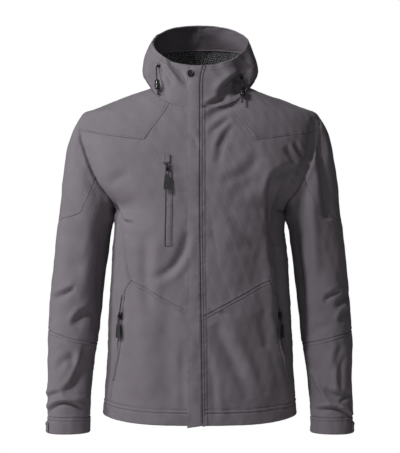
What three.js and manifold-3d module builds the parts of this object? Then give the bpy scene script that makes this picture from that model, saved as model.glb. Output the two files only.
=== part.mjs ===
// A hooded softshell jacket, zipped up and filled out as it is worn: a hollow body, two hanging sleeves and a hood that is down.
// Millimetres, +Z up, and the front faces -Y. The wearer's right is at -X.
// The origin is the middle of the neck, level with the inner ends of the shoulder seams, where the wearer's shoulders hold it.
// Each cloth form is lofted through the sections in a table, made a wall, and then cut into panels along its seams.

import * as THREE from "three";
import { mergeVertices } from "three/addons/utils/BufferGeometryUtils.js";
import Module from "manifold-3d";

const wasm = await Module();
wasm.setup();

// Driving dimensions
const cloth = 2; // bonded softshell with its fleece back
const thinCloth = 1.2; // hood facing and mesh
const seamGap = 0.3;
const tidyTo = 0.3; // slivers under this are merged after a cut
const reach = 400; // further than any part of the garment, for cutters
const far = 1200;
const torsoColumns = 28;
const sleeveColumns = 14;
const hoodRows = [0, 0.5, 1, 1.5, 2, 2.5, 3, 4, 5, 5.5, 6, 7];
const hoodTurns = [0, 0.25, 0.48, 0.66, 0.82, 0.98, 1.2, 1.57, 1.95, 2.3, 2.6, 2.87];

// Body sections: half width, depth in front of and behind the side seams, and how square the section is.
const torso = [
  { z: -730, half: 209, front: 126, back: 130, power: 2.3 },
  { z: -690, half: 207.5, front: 128, back: 132, power: 2.3 },
  { z: -600, half: 201.5, front: 131.5, back: 131.5, power: 2.3 },
  { z: -490, half: 196, front: 133.5, back: 129, power: 2.3 },
  { z: -380, half: 189.5, front: 136, back: 130, power: 2.3 },
  { z: -320, half: 184.5, front: 138, back: 135, power: 2.3 },
  { z: -285, half: 182, front: 139, back: 138, power: 2.3 },
  { z: -262, half: 180.4, front: 139.5, back: 140, power: 2.3 },
  { z: -255, half: 180.6, front: 139.5, back: 141, power: 2.3 },
  { z: -245, half: 186, front: 139.5, back: 142, power: 2.3 },
  { z: -225, half: 210, front: 139, back: 144, power: 2.3 },
  { z: -200, half: 238, front: 138, back: 145, power: 2.3 },
  { z: -170, half: 257, front: 136, back: 146, power: 2.25 },
  { z: -135, half: 266, front: 132, back: 145, power: 2.2 },
  { z: -100, half: 268, front: 126, back: 140, power: 2.15 },
  { z: -75, half: 265, front: 120, back: 133, power: 2.1 },
  { z: -56, half: 258, front: 114, back: 125, power: 2.05 },
  { z: -47, half: 251, front: 111, back: 121, power: 2 },
  { z: -36, half: 222.5, front: 107, back: 114, power: 2 },
  { z: -24, half: 191.5, front: 102, back: 106, power: 2 },
  { z: -12, half: 160.5, front: 97, back: 99, power: 2 },
  { z: 0, half: 129, front: 92, back: 92, power: 2 },
  { z: 10, half: 103, front: 88, back: 87, power: 2 },
  { z: 20, half: 80, front: 84, back: 83, power: 2 },
  { z: 32, half: 60, front: 80, back: 79, power: 2 },
];

// The armhole seam seen from the front: how far out it lies on the front and on the back.
const armhole = [
  { z: -254, front: 181, back: 181 },
  { z: -236, front: 187, back: 196 },
  { z: -213, front: 203.5, back: 214 },
  { z: -187, front: 219.5, back: 229 },
  { z: -157, front: 232.5, back: 239 },
  { z: -129, front: 243, back: 246 },
  { z: -99, front: 252, back: 252 },
  { z: -70, front: 255, back: 255 },
  { z: -49, front: 253, back: 253 },
];

// Sleeve sections below the armhole: the outer and the inner line, half the depth, and how far back the middle is.
const sleeve = [
  { step: 0, outerX: 253, outerZ: -49, innerX: 181, innerZ: -254, depth: 72, middle: 1 },
  { step: 1, outerX: 263, outerZ: -63, innerX: 183, innerZ: -258, depth: 73, middle: 1 },
  { step: 2, outerX: 274, outerZ: -85, innerX: 184, innerZ: -262, depth: 75, middle: 2 },
  { step: 3, outerX: 284, outerZ: -118, innerX: 184.8, innerZ: -267, depth: 77, middle: 3 },
  { step: 4, outerX: 291, outerZ: -160, innerX: 186, innerZ: -273, depth: 78, middle: 4 },
  { step: 5, outerX: 297, outerZ: -205, innerX: 187.6, innerZ: -282, depth: 78, middle: 5 },
  { step: 6, outerX: 302, outerZ: -255, innerX: 190, innerZ: -296, depth: 77, middle: 6 },
  { step: 7, outerX: 308, outerZ: -310, innerX: 195.5, innerZ: -328, depth: 74, middle: 7 },
  { step: 8, outerX: 314, outerZ: -365, innerX: 201.5, innerZ: -374, depth: 70, middle: 6 },
  { step: 9, outerX: 319, outerZ: -420, innerX: 207, innerZ: -423, depth: 66, middle: 3 },
  { step: 10, outerX: 324, outerZ: -475, innerX: 212, innerZ: -474, depth: 62, middle: -2 },
  { step: 11, outerX: 326, outerZ: -525, innerX: 217, innerZ: -524, depth: 60, middle: -8 },
  { step: 12, outerX: 326, outerZ: -575, innerX: 225, innerZ: -574, depth: 57, middle: -15 },
  { step: 13, outerX: 325, outerZ: -625, innerX: 231, innerZ: -624, depth: 53, middle: -21 },
  { step: 14, outerX: 324.5, outerZ: -665, innerX: 233, innerZ: -664, depth: 50, middle: -26 },
  { step: 15, outerX: 324.5, outerZ: -694, innerX: 233.5, innerZ: -693, depth: 47, middle: -31 },
  { step: 16, outerX: 325, outerZ: -726, innerX: 234, innerZ: -725, depth: 45, middle: -35 },
];
const capFade = 5; // the sleeve keeps the armhole's shape for this many steps, fading
const sleevePower = 2.15;

// Hood sections from the neck seam to the edge of its opening, at the front, the sides and the back.
// The fold is how far each section is drawn in between the collar and the hood's side.
const hood = [
  { step: 0, half: 104, front: 107, back: 83, zFront: -44, zSide: 9.6, zBack: 18, fold: 0 },
  { step: 1, half: 107, front: 108, back: 104, zFront: -32, zSide: 19, zBack: 8, fold: 3 },
  { step: 2, half: 114, front: 108, back: 142, zFront: -18, zSide: 25, zBack: -12, fold: 9 },
  { step: 3, half: 121.5, front: 107, back: 178, zFront: -3, zSide: 33, zBack: 4, fold: 14 },
  { step: 4, half: 124.5, front: 105, back: 190, zFront: 10, zSide: 47, zBack: 44, fold: 15 },
  { step: 5, half: 121.5, front: 102, back: 176, zFront: 24, zSide: 67, zBack: 90, fold: 12 },
  { step: 6, half: 113, front: 98, back: 152, zFront: 36, zSide: 90, zBack: 127, fold: 6 },
  { step: 7, half: 104, front: 94, back: 128, zFront: 48, zSide: 112, zBack: 161, fold: 0 },
];
const hoodPower = 2.3;
const foldTurn = 0.86; // radians from the centre front to the middle of the fold
const foldSpread = 0.2;
const neckDrop = 1.15; // how soon the neck seam drops from the shoulder towards the front and the back
const neckFade = 3; // the hood keeps the neck seam's shape for this many steps, fading
const facedFrom = -40; // the hood is faced and lined behind this depth
const neckLift = 0.9; // the hood starts this far above the neck seam

// Seams seen from the front, on the wearer's left. Both sides are alike.
const yokeCorner = [116, -110];
const yokeSeam = [[275, -83], [244, -88], [197, -98], [144, -106], yokeCorner, [96, -82], [74, -52], [66, -38], [48, -4]];
const seamCorner = [142, -402];
const sideSeamUpper = [[222, -222], [188, -240], [168, -268], [153, -312], [151, -350], [147, -386], seamCorner];
const sideSeamLower = [
  seamCorner,
  [155, -428],
  [163, -468],
  [166.5, -505],
  [169.5, -541],
  [175.5, -573],
  [183, -610],
  [189, -655],
  [193, -700],
  [198, -760],
];
const chestSeam = [[-20, -490], [20, -468.5], [78, -437], [114, -417], seamCorner];
const backYokeSeam = [[-300, -118], [-150, -112], [0, -124], [150, -112], [300, -118]];
const capSeam = [[205, -150], [222, -196], [244, -244], [254, -262], [290, -272], [303, -278], [345, -288]];
const elbowSeam = [[180, -548], [230, -535], [255, -529.5], [281, -523], [313, -513.5], [360, -500]];
const cuffSeam = [[200, -692], [370, -691]];

// Front closure, from the wearer's right to left
const rightFrontEdge = -9;
const leftFrontEdge = 9.3;
const flapSpan = { from: -29, to: 2.4, lift: 0.5, thick: 2.2, bottom: -706 };
const pipingSpan = { from: 3, to: 9, lift: 1.1, thick: 3.1, bottom: -703 };
const zipSpan = { from: -8.7, to: 2.7, lift: 0, thick: 2, bottom: -698 };
const hem = { frontMiddle: -701, side: -689, backMiddle: -706, half: 208 };

// Fastenings
const snap = { x: -20, step: 5.35, radius: 7.6, height: 3.2 };
const pulls = { linkLength: 16, gripLength: 30, gripTop: 11.5, gripBottom: 15, gripThick: 2.6, hinge: 6 };
const sliderSize = { width: 9, length: 14, thick: 3.4, lift: 2.6 };
const chestZip = { x: -66.5, top: -141, bottom: -329, sliderZ: -167, tape: 4.4, tapeX: -71.2, welt: 11.4, weltX: -63 };
const handZip = { top: -433, bottom: -612, sliderZ: -476, width: 9, tape: 4 };
const cuffTab = { from: -1.75, to: 0.55, top: 15.3, bottom: 15.97, lift: 0.8, thick: 2 };
const drawcords = [
  { name: "right", side: -1, turn: 0.9, step: 5.5, end: [-88, -89, -9], lockFrom: 0.5 },
  { name: "left", side: 1, turn: 0.9, step: 4, end: [88, -104, -27], lockFrom: 0.42 },
];
const cordRadius = 1.4;
const knotRadius = 2.6;
const eyeletLift = 2.4;
const lathe = 14;
const toggleSize = { radius: 5.2, bore: 1.8, length: 20, lip: 6.2 };

const black = { color: 0x1b1b1d, roughness: 0.55, metalness: 0.1 };
const metal = { color: 0x2b2b2e, roughness: 0.35, metalness: 0.9 };
const softshell = { color: 0x77727a, roughness: 0.85, metalness: 0 };
const meshCloth = { color: 0x17171a, roughness: 0.95, metalness: 0 };

const jacket = new THREE.Group();

// A smooth curve through one column of a table, read at a place along another. It never overshoots a row.
function read(table, along, column, place) {
  const last = table.length - 1;
  let row = 0;
  while (row < last - 1 && place > table[row + 1][along]) row += 1;
  const rise = (k) => (table[k + 1][column] - table[k][column]) / (table[k + 1][along] - table[k][along]);
  const slope = (k) => {
    if (k === 0) return rise(0);
    if (k === last) return rise(last - 1);
    const before = rise(k - 1);
    const after = rise(k);
    return before * after <= 0 ? 0 : (2 * before * after) / (before + after);
  };
  const span = table[row + 1][along] - table[row][along];
  const t = THREE.MathUtils.clamp((place - table[row][along]) / span, 0, 1);
  const ease = t * t * (3 - 2 * t);
  const lift = span * (slope(row) * t * (1 - t) ** 2 - slope(row + 1) * t * t * (1 - t));
  return table[row][column] * (1 - ease) + table[row + 1][column] * ease + lift;
}

const signedPower = (value, power) => Math.sign(value) * Math.abs(value) ** power;

// A point of the body's outside at a turn round it (0 is the centre front, and a quarter turn the wearer's left).
function torsoPoint(turn, z) {
  const power = 2 / read(torso, "z", "power", z);
  const ahead = Math.cos(turn);
  const depth = read(torso, "z", ahead > 0 ? "front" : "back", z);
  const x = read(torso, "z", "half", z) * signedPower(Math.sin(turn), power);
  return new THREE.Vector3(x, -depth * signedPower(ahead, power), z);
}

// The same, at a place seen from the front: on the front, or on the back.
function torsoAt(x, z, side = "front") {
  const power = read(torso, "z", "power", z);
  const share = Math.min(Math.abs(x) / read(torso, "z", "half", z), 1);
  const y = read(torso, "z", side, z) * (1 - share ** power) ** (1 / power);
  return new THREE.Vector3(x, side === "front" ? -y : y, z);
}

// The armhole's loop at an angle round the sleeve (0 is the shoulder tip, and a quarter turn the front).
function armholePoint(angle) {
  const top = armhole[armhole.length - 1].z;
  const bottom = armhole[0].z;
  const z = (top + bottom) / 2 + ((top - bottom) / 2) * Math.cos(angle);
  const side = Math.sin(angle) >= 0 ? "front" : "back";
  const point = torsoAt(read(armhole, "z", side, z), z, side);
  if (Math.abs(Math.sin(angle)) < 1e-6) point.y = 0;
  return point;
}

// A sleeve section's middle, its half width towards the outer line, and the way down the sleeve.
function sleeveFrame(step) {
  const at = (column) => read(sleeve, "step", column, step);
  const outer = new THREE.Vector3(at("outerX"), at("middle"), at("outerZ"));
  const inner = new THREE.Vector3(at("innerX"), at("middle"), at("innerZ"));
  const middle = outer.clone().add(inner).multiplyScalar(0.5);
  const out = outer.clone().sub(middle);
  const down = new THREE.Vector3(out.z, 0, -out.x).normalize();
  return { middle, out, down, depth: at("depth") };
}

// A point of the left sleeve's outside at an angle round it and a step down it.
function sleevePoint(angle, step) {
  const start = sleeveFrame(0);
  const frame = sleeveFrame(step);
  const loop = armholePoint(angle).sub(start.middle);
  const keep = THREE.MathUtils.smoothstep(capFade - step, 0, capFade);
  const shape = 2 / sleevePower;
  const out = keep * (loop.dot(start.out) / start.out.lengthSq()) + (1 - keep) * signedPower(Math.cos(angle), shape);
  const depth = keep * loop.y - (1 - keep) * frame.depth * signedPower(Math.sin(angle), shape);
  return frame.middle
    .clone()
    .addScaledVector(frame.out, out)
    .addScaledVector(frame.down, keep * loop.dot(start.down))
    .add(new THREE.Vector3(0, depth, 0));
}

// The neck seam at a turn round the neck. It lies on the body.
function neckPoint(turn) {
  const ahead = Math.cos(turn);
  const base = hood[0];
  const end = ahead > 0 ? base.zFront : base.zBack;
  const z = base.zSide + (end - base.zSide) * Math.abs(ahead) ** neckDrop;
  return torsoAt(base.half * signedPower(Math.sin(turn), 0.95), z, ahead > 0 ? "front" : "back");
}

// A section of the collar and hood by itself, before it is joined to the neck
function hoodRing(turn, step) {
  const at = (column) => read(hood, "step", column, step);
  const ahead = Math.cos(turn);
  const isFront = ahead > 0;
  const shape = 2 / hoodPower;
  const fromSide = Math.atan2(Math.abs(Math.sin(turn)), ahead);
  const drawn = 1 - (at("fold") / 100) * Math.exp(-(((fromSide - foldTurn) / foldSpread) ** 2));
  const zEnd = isFront ? at("zFront") : at("zBack");
  return new THREE.Vector3(
    at("half") * signedPower(Math.sin(turn), shape) * drawn,
    -at(isFront ? "front" : "back") * signedPower(ahead, shape) * drawn,
    at("zSide") + (zEnd - at("zSide")) * Math.abs(ahead) ** neckDrop,
  );
}

// A point of the collar's and hood's outside at a turn round the neck and a step up from the neck seam
function hoodPoint(turn, step) {
  const keep = 1 - THREE.MathUtils.smoothstep(step, 0, neckFade);
  const joined = neckPoint(turn).sub(hoodRing(turn, 0)).multiplyScalar(keep);
  return hoodRing(turn, step).add(joined).add(new THREE.Vector3(0, 0, neckLift));
}

// Rows and columns of points on a surface
const grid = (rows, columns, point) => rows.map((row) => columns.map((column) => point(column, row)));
const steps = (count, from, to) => Array.from({ length: count + 1 }, (_, i) => from + ((to - from) * i) / count);
const turns = (count) => Array.from({ length: count }, (_, i) => (2 * Math.PI * i) / count);

// The outward normals of a grid of points. A loop's last column is next to its first.
function normalsOf(points, loop) {
  return points.map((row, r) =>
    row.map((_, c) => {
      const before = loop ? (c + row.length - 1) % row.length : Math.max(c - 1, 0);
      const after = loop ? (c + 1) % row.length : Math.min(c + 1, row.length - 1);
      const along = row[after].clone().sub(row[before]);
      const up = points[Math.min(r + 1, points.length - 1)][c].clone().sub(points[Math.max(r - 1, 0)][c]);
      return along.cross(up).normalize();
    }),
  );
}

// A closed solid between two depths under a grid of points: a tube's wall if the grid is a loop, or else a sheet.
function wall(points, { loop = false, lift = 0, thick = cloth, normals = normalsOf(points, loop) } = {}) {
  const rows = points.length;
  const columns = points[0].length;
  const size = rows * columns;
  const position = [];
  for (const depth of [lift, lift - thick]) {
    points.forEach((row, r) =>
      row.forEach((point, c) => position.push(...point.clone().addScaledVector(normals[r][c], depth).toArray())),
    );
  }
  const index = [];
  const quad = (a, b, c, d) => index.push(a, b, c, a, c, d);
  const at = (r, c) => r * columns + (c % columns);
  const spans = loop ? columns : columns - 1;
  for (let c = 0; c < spans; c += 1) {
    for (let r = 0; r < rows - 1; r += 1) {
      quad(at(r, c), at(r, c + 1), at(r + 1, c + 1), at(r + 1, c));
      quad(size + at(r, c), size + at(r + 1, c), size + at(r + 1, c + 1), size + at(r, c + 1));
    }
    quad(at(0, c + 1), at(0, c), size + at(0, c), size + at(0, c + 1));
    quad(at(rows - 1, c), at(rows - 1, c + 1), size + at(rows - 1, c + 1), size + at(rows - 1, c));
  }
  if (!loop) {
    for (let r = 0; r < rows - 1; r += 1) {
      const right = columns - 1;
      quad(at(r, 0), at(r + 1, 0), size + at(r + 1, 0), size + at(r, 0));
      quad(at(r + 1, right), at(r, right), size + at(r, right), size + at(r + 1, right));
    }
  }
  return new wasm.Manifold(
    new wasm.Mesh({
      numProp: 3,
      vertProperties: new Float32Array(position),
      triVerts: new Uint32Array(index),
    }),
  );
}

// A three.js geometry as a solid that can be cut
function solid(geometry) {
  const bare = geometry.clone();
  bare.deleteAttribute("normal");
  bare.deleteAttribute("uv");
  const merged = mergeVertices(bare, 1e-4);
  return new wasm.Manifold(
    new wasm.Mesh({
      numProp: 3,
      vertProperties: new Float32Array(merged.attributes.position.array),
      triVerts: new Uint32Array(merged.index.array),
    }),
  );
}

// A cutter: an outline seen from the front and carried right through, or one seen from above.
function prism(outline, view = "front") {
  const shape = new THREE.Shape(outline.map(([a, b]) => new THREE.Vector2(a, b)));
  const geometry = new THREE.ExtrudeGeometry(shape, { depth: 2 * far, bevelEnabled: false });
  geometry.translate(0, 0, -far);
  if (view === "front") geometry.rotateX(Math.PI / 2);
  return solid(geometry);
}

// A thin blade along a seam, which leaves the seam's gap
function blade(seam, view = "front") {
  const points = seam.map(([a, b]) => new THREE.Vector2(a, b));
  const side = (sign) =>
    points.map((point, i) => {
      const way = points[Math.min(i + 1, points.length - 1)].clone().sub(points[Math.max(i - 1, 0)]).normalize();
      return [point.x - sign * way.y * (seamGap / 2), point.y + sign * way.x * (seamGap / 2)];
    });
  return prism([...side(1), ...side(-1).reverse()], view);
}

const boxBetween = (low, high) =>
  solid(
    new THREE.BoxGeometry(high[0] - low[0], high[1] - low[1], high[2] - low[2]).translate(
      (low[0] + high[0]) / 2,
      (low[1] + high[1]) / 2,
      (low[2] + high[2]) / 2,
    ),
  );

// A solid as a named mesh
function addMesh(name, shape, finish, parent = jacket) {
  const isCloth = finish === softshell || finish === meshCloth;
  const made = (isCloth ? shape.asOriginal().simplify(tidyTo) : shape).getMesh();
  const geometry = new THREE.BufferGeometry();
  geometry.setAttribute("position", new THREE.BufferAttribute(new Float32Array(made.vertProperties), 3));
  geometry.setIndex(new THREE.BufferAttribute(new Uint32Array(made.triVerts), 1));
  geometry.computeVertexNormals();
  const mesh = new THREE.Mesh(geometry, new THREE.MeshStandardMaterial(finish));
  mesh.name = name;
  parent.add(mesh);
  return mesh;
}

// The same piece on both sides of the wearer
function addPair(name, left, finish = softshell) {
  addMesh(`${name}_left`, left, finish);
  addMesh(`${name}_right`, left.mirror([1, 0, 0]), finish);
}

const mirrored = (outline) => outline.map(([a, b]) => [-a, b]);

// The armhole seen from the front, as an outline that opens outwards
function armholeOutline(side, inset) {
  const edge = armhole.map((row) => [row[side] + inset, row.z]);
  const [lowX] = edge[0];
  return [[lowX, -far], ...edge, [edge[edge.length - 1][0], far], [far, far], [far, -far]];
}

const hemCurve = (middle) =>
  steps(28, -1, 1).map((share) => [share * 260, middle + (hem.side - middle) * Math.min((share * 260) / hem.half, 1.2) ** 4]);

function buildTorso() {
  const shell = wall(
    grid(torso.map((row) => row.z), turns(torsoColumns), torsoPoint),
    { loop: true },
  );
  const neck = steps(16, 0, Math.PI / 2).map((turn) => neckPoint(turn));
  const neckBack = steps(16, Math.PI / 2, Math.PI).map((turn) => neckPoint(turn));
  const opening = (points) => {
    const half = points.map((point) => [point.x, point.z]);
    const both = [...half, ...mirrored([...half].reverse())];
    return half[0][0] < 1
      ? [...mirrored([...half].reverse()).slice(0, -1), ...half, [half[half.length - 1][0], far], [-half[half.length - 1][0], far]]
      : [...both, [-half[0][0], far], [half[0][0], far]];
  };
  const armCut = (side) => {
    const left = prism([...armholeOutline(side, 0).slice(1, -2), [far, far], [far, armhole[0].z]]);
    return left.add(left.mirror([1, 0, 0]));
  };
  const hemCut = (middle) => prism([...hemCurve(middle), [260, -far], [-260, -far]]);
  const front = shell
    .intersect(boxBetween([-far, -reach, -far], [far, -seamGap / 2, far]))
    .subtract(armCut("front"))
    .subtract(prism(opening(neck)))
    .subtract(hemCut(hem.frontMiddle));
  const back = shell
    .intersect(boxBetween([-far, seamGap / 2, -far], [far, reach, far]))
    .subtract(armCut("back"))
    .subtract(prism(opening(neckBack)))
    .subtract(hemCut(hem.backMiddle));

  const seams = [yokeSeam, [...sideSeamUpper, ...sideSeamLower.slice(1)], chestSeam];
  const cut = seams.reduce(
    (cloth, seam) => cloth.subtract(blade(seam)).subtract(blade(mirrored(seam))),
    front,
  );
  const regions = {
    yoke: [...yokeSeam, [48, far], [275, far]],
    chest: [[0, far], [48, far], ...[...yokeSeam].reverse(), [275, -222], ...sideSeamUpper, ...[...chestSeam].reverse().slice(1), [-20, far]],
    lower_front: [...chestSeam, ...sideSeamLower.slice(1), [-20, -760]],
    side: [[275, -222], ...sideSeamUpper, ...sideSeamLower.slice(1), [275, -760]],
  };
  const leftHalf = boxBetween([leftFrontEdge, -reach, -far], [far, reach, far]);
  const rightHalf = boxBetween([-far, -reach, -far], [rightFrontEdge, reach, far]);
  for (const [name, outline] of Object.entries(regions)) {
    addMesh(`${name}_left`, largest(cut.intersect(prism(outline)).intersect(leftHalf)), softshell);
    addMesh(`${name}_right`, largest(cut.intersect(prism(mirrored(outline))).intersect(rightHalf)), softshell);
  }
  const split = back.subtract(blade(backYokeSeam));
  addMesh("back_yoke", largest(split.intersect(prism([...backYokeSeam, [300, far], [-300, far]]))), softshell);
  addMesh("back_body", largest(split.intersect(prism([...backYokeSeam, [300, -far], [-300, -far]]))), softshell);
}

// The main piece of a cut, without the crumbs that a seam can leave at its ends
function largest(shape) {
  const pieces = shape.decompose();
  return pieces.reduce((most, piece) => (piece.volume() > most.volume() ? piece : most));
}

function buildSleeves() {
  const tube = wall(
    grid(sleeve.map((row) => row.step), turns(sleeveColumns), sleevePoint),
    { loop: true },
  );
  const front = boxBetween([-far, -reach, -far], [far, 0, far]);
  const back = boxBetween([-far, 0, -far], [far, reach, far]);
  const outside = (side, half) => prism(armholeOutline(side, seamGap)).intersect(half);
  const arm = largest(tube.intersect(outside("front", front).add(outside("back", back))));
  const cut = [capSeam, elbowSeam, cuffSeam].reduce((cloth, seam) => cloth.subtract(blade(seam)), arm);
  const above = (seam) => prism([...seam, [seam[seam.length - 1][0], far], [seam[0][0], far]]);
  const below = (seam) => prism([...seam, [seam[seam.length - 1][0], -far], [seam[0][0], -far]]);
  const underCap = cut.subtract(above(capSeam));
  addPair("sleeve_cap", largest(cut.intersect(above(capSeam))));
  addPair("sleeve_upper", largest(underCap.intersect(above(elbowSeam))));
  addPair("sleeve_lower", largest(underCap.intersect(below(elbowSeam)).intersect(above(cuffSeam))));
  addPair("cuff", largest(underCap.intersect(below(cuffSeam))));
  const tab = grid(steps(3, cuffTab.top, cuffTab.bottom), steps(9, cuffTab.from, cuffTab.to), sleevePoint);
  addPair("cuff_tab", wall(tab, { lift: cuffTab.lift + cuffTab.thick, thick: cuffTab.thick }));
}

// The hood's panels are cut by upright planes: the collar's fronts, the two sides and the middle of the back.
function buildHood() {
  const halfway = [...hoodTurns, Math.PI];
  const columns = [...halfway, ...hoodTurns.slice(1).reverse().map((turn) => 2 * Math.PI - turn)];
  const ways = (levels) => grid(levels, columns, (turn, step) => placeOnHood(turn, step).out);
  const layer = (levels, lift, thick) =>
    wall(grid(levels, columns, hoodPoint), { loop: true, lift, thick, normals: ways(levels) });
  const shell = layer(hoodRows, 0, cloth);
  const collarEdge = 80;
  const middleHalf = 46;
  const gap = seamGap;
  addMesh(
    "collar_left",
    largest(shell.intersect(boxBetween([leftFrontEdge, -reach, -far], [collarEdge, -20, far]))),
    softshell,
  );
  addMesh(
    "collar_right",
    largest(shell.intersect(boxBetween([-collarEdge, -reach, -far], [rightFrontEdge, -20, far]))),
    softshell,
  );
  const beside = [[collarEdge + gap, -reach], [far, -reach], [far, reach], [middleHalf + gap, reach], [middleHalf + gap, -20 + gap], [collarEdge + gap, -20 + gap]];
  addPair("hood_side", largest(shell.intersect(prism(beside, "above"))));
  addMesh("hood_middle", largest(shell.intersect(boxBetween([-middleHalf, 0, -far], [middleHalf, reach, far]))), softshell);

  const inside = -(cloth + 0.6);
  const facing = layer(hoodRows.slice(-3), inside, thinCloth);
  addPair("hood_facing", largest(facing.intersect(boxBetween([gap / 2, facedFrom, -far], [far, reach, far]))));
  const lining = layer([...hoodRows.slice(1, -3), 5.48], inside, thinCloth);
  addMesh("hood_mesh", largest(lining.intersect(boxBetween([-far, facedFrom, -far], [far, reach, far]))), meshCloth);
}

// A strip of the front closure, up the body and then up the collar
function closureStrip({ from, to, lift, thick, bottom }, columns) {
  const xs = steps(columns, from, to);
  const neckZ = hood[0].zFront;
  const levels = [bottom, ...torso.map((row) => row.z).filter((z) => z > bottom && z < neckZ - 1)];
  const body = levels.map((z) => xs.map((x) => torsoAt(x, z)));
  const collar = hood.slice(1).map(({ step }) =>
    xs.map((x) => hoodPoint(collarTurn(x, step), step)),
  );
  const seam = xs.map((x) => torsoAt(x, neckZ));
  return wall([...body, seam, ...collar], { lift: lift + (lift > 0 ? thick : 0), thick });
}

function buildClosure() {
  addMesh("front_zip", closureStrip(zipSpan, 2), black);
  addMesh("zip_piping", closureStrip({ ...pipingSpan, lift: pipingSpan.lift - pipingSpan.thick }, 2), softshell);
  addMesh("storm_flap", closureStrip(flapSpan, 4), softshell);
  const profile = [
    [0, 0],
    [snap.radius, 0],
    [snap.radius, snap.height * 0.45],
    [snap.radius * 0.8, snap.height],
    [snap.radius * 0.45, snap.height * 0.8],
    [0, snap.height * 0.7],
  ];
  const proud = flapSpan.lift + flapSpan.thick + seamGap;
  addMesh("snap_cap", turnedOn(placeOnHood(collarTurn(snap.x, snap.step), snap.step), profile, proud), black);
}

// How far round the collar a place seen from the front is
function collarTurn(x, step) {
  const half = read(hood, "step", "half", step);
  return Math.sign(x) * Math.asin(Math.abs(x / half) ** (hoodPower / 2));
}

// A place on the collar or hood, and the way outwards there
function placeOnHood(turn, step) {
  const across = hoodPoint(turn + 0.03, step).sub(hoodPoint(turn - 0.03, step));
  const up = hoodPoint(turn, step + 0.1).sub(hoodPoint(turn, step - 0.1));
  return { point: hoodPoint(turn, step), out: across.cross(up).normalize() };
}

// A turned piece that stands on a place, from its profile of radii and heights
function turnedOn({ point, out }, profile, proud) {
  const geometry = new THREE.LatheGeometry(profile.map(([r, h]) => new THREE.Vector2(r, h)), lathe);
  const seat = point.clone().addScaledVector(out, proud);
  geometry.applyQuaternion(new THREE.Quaternion().setFromUnitVectors(new THREE.Vector3(0, 1, 0), out));
  return solid(geometry.translate(seat.x, seat.y, seat.z));
}

// The frame of a place on the front of the body: across, outwards and up along a seam or zip
function placeOn(x, z, way) {
  const point = torsoAt(x, z);
  const across = torsoAt(x + 1, z).sub(torsoAt(x - 1, z));
  const up = torsoAt(x, z + 1).sub(torsoAt(x, z - 1));
  const out = across.clone().cross(up).normalize();
  const along = way.clone().addScaledVector(out, -way.dot(out)).normalize();
  const side = out.clone().cross(along).normalize();
  return { point, out, along, side };
}

// A strip of cloth or tape along a path on the body, standing a little proud of it
function stripOn(path, width, lift, thick, shift = 0) {
  const rows = path.map(([x, z], i) => {
    const next = path[Math.min(i + 1, path.length - 1)];
    const last = path[Math.max(i - 1, 0)];
    const way = torsoAt(...next).sub(torsoAt(...last));
    const { point, out, side } = placeOn(x, z, way);
    return [-1, 0, 1].map((share) =>
      point
        .clone()
        .addScaledVector(side, -((share * width) / 2 + shift))
        .addScaledVector(out, lift),
    );
  });
  return wall(rows, { lift: thick, thick });
}

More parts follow.
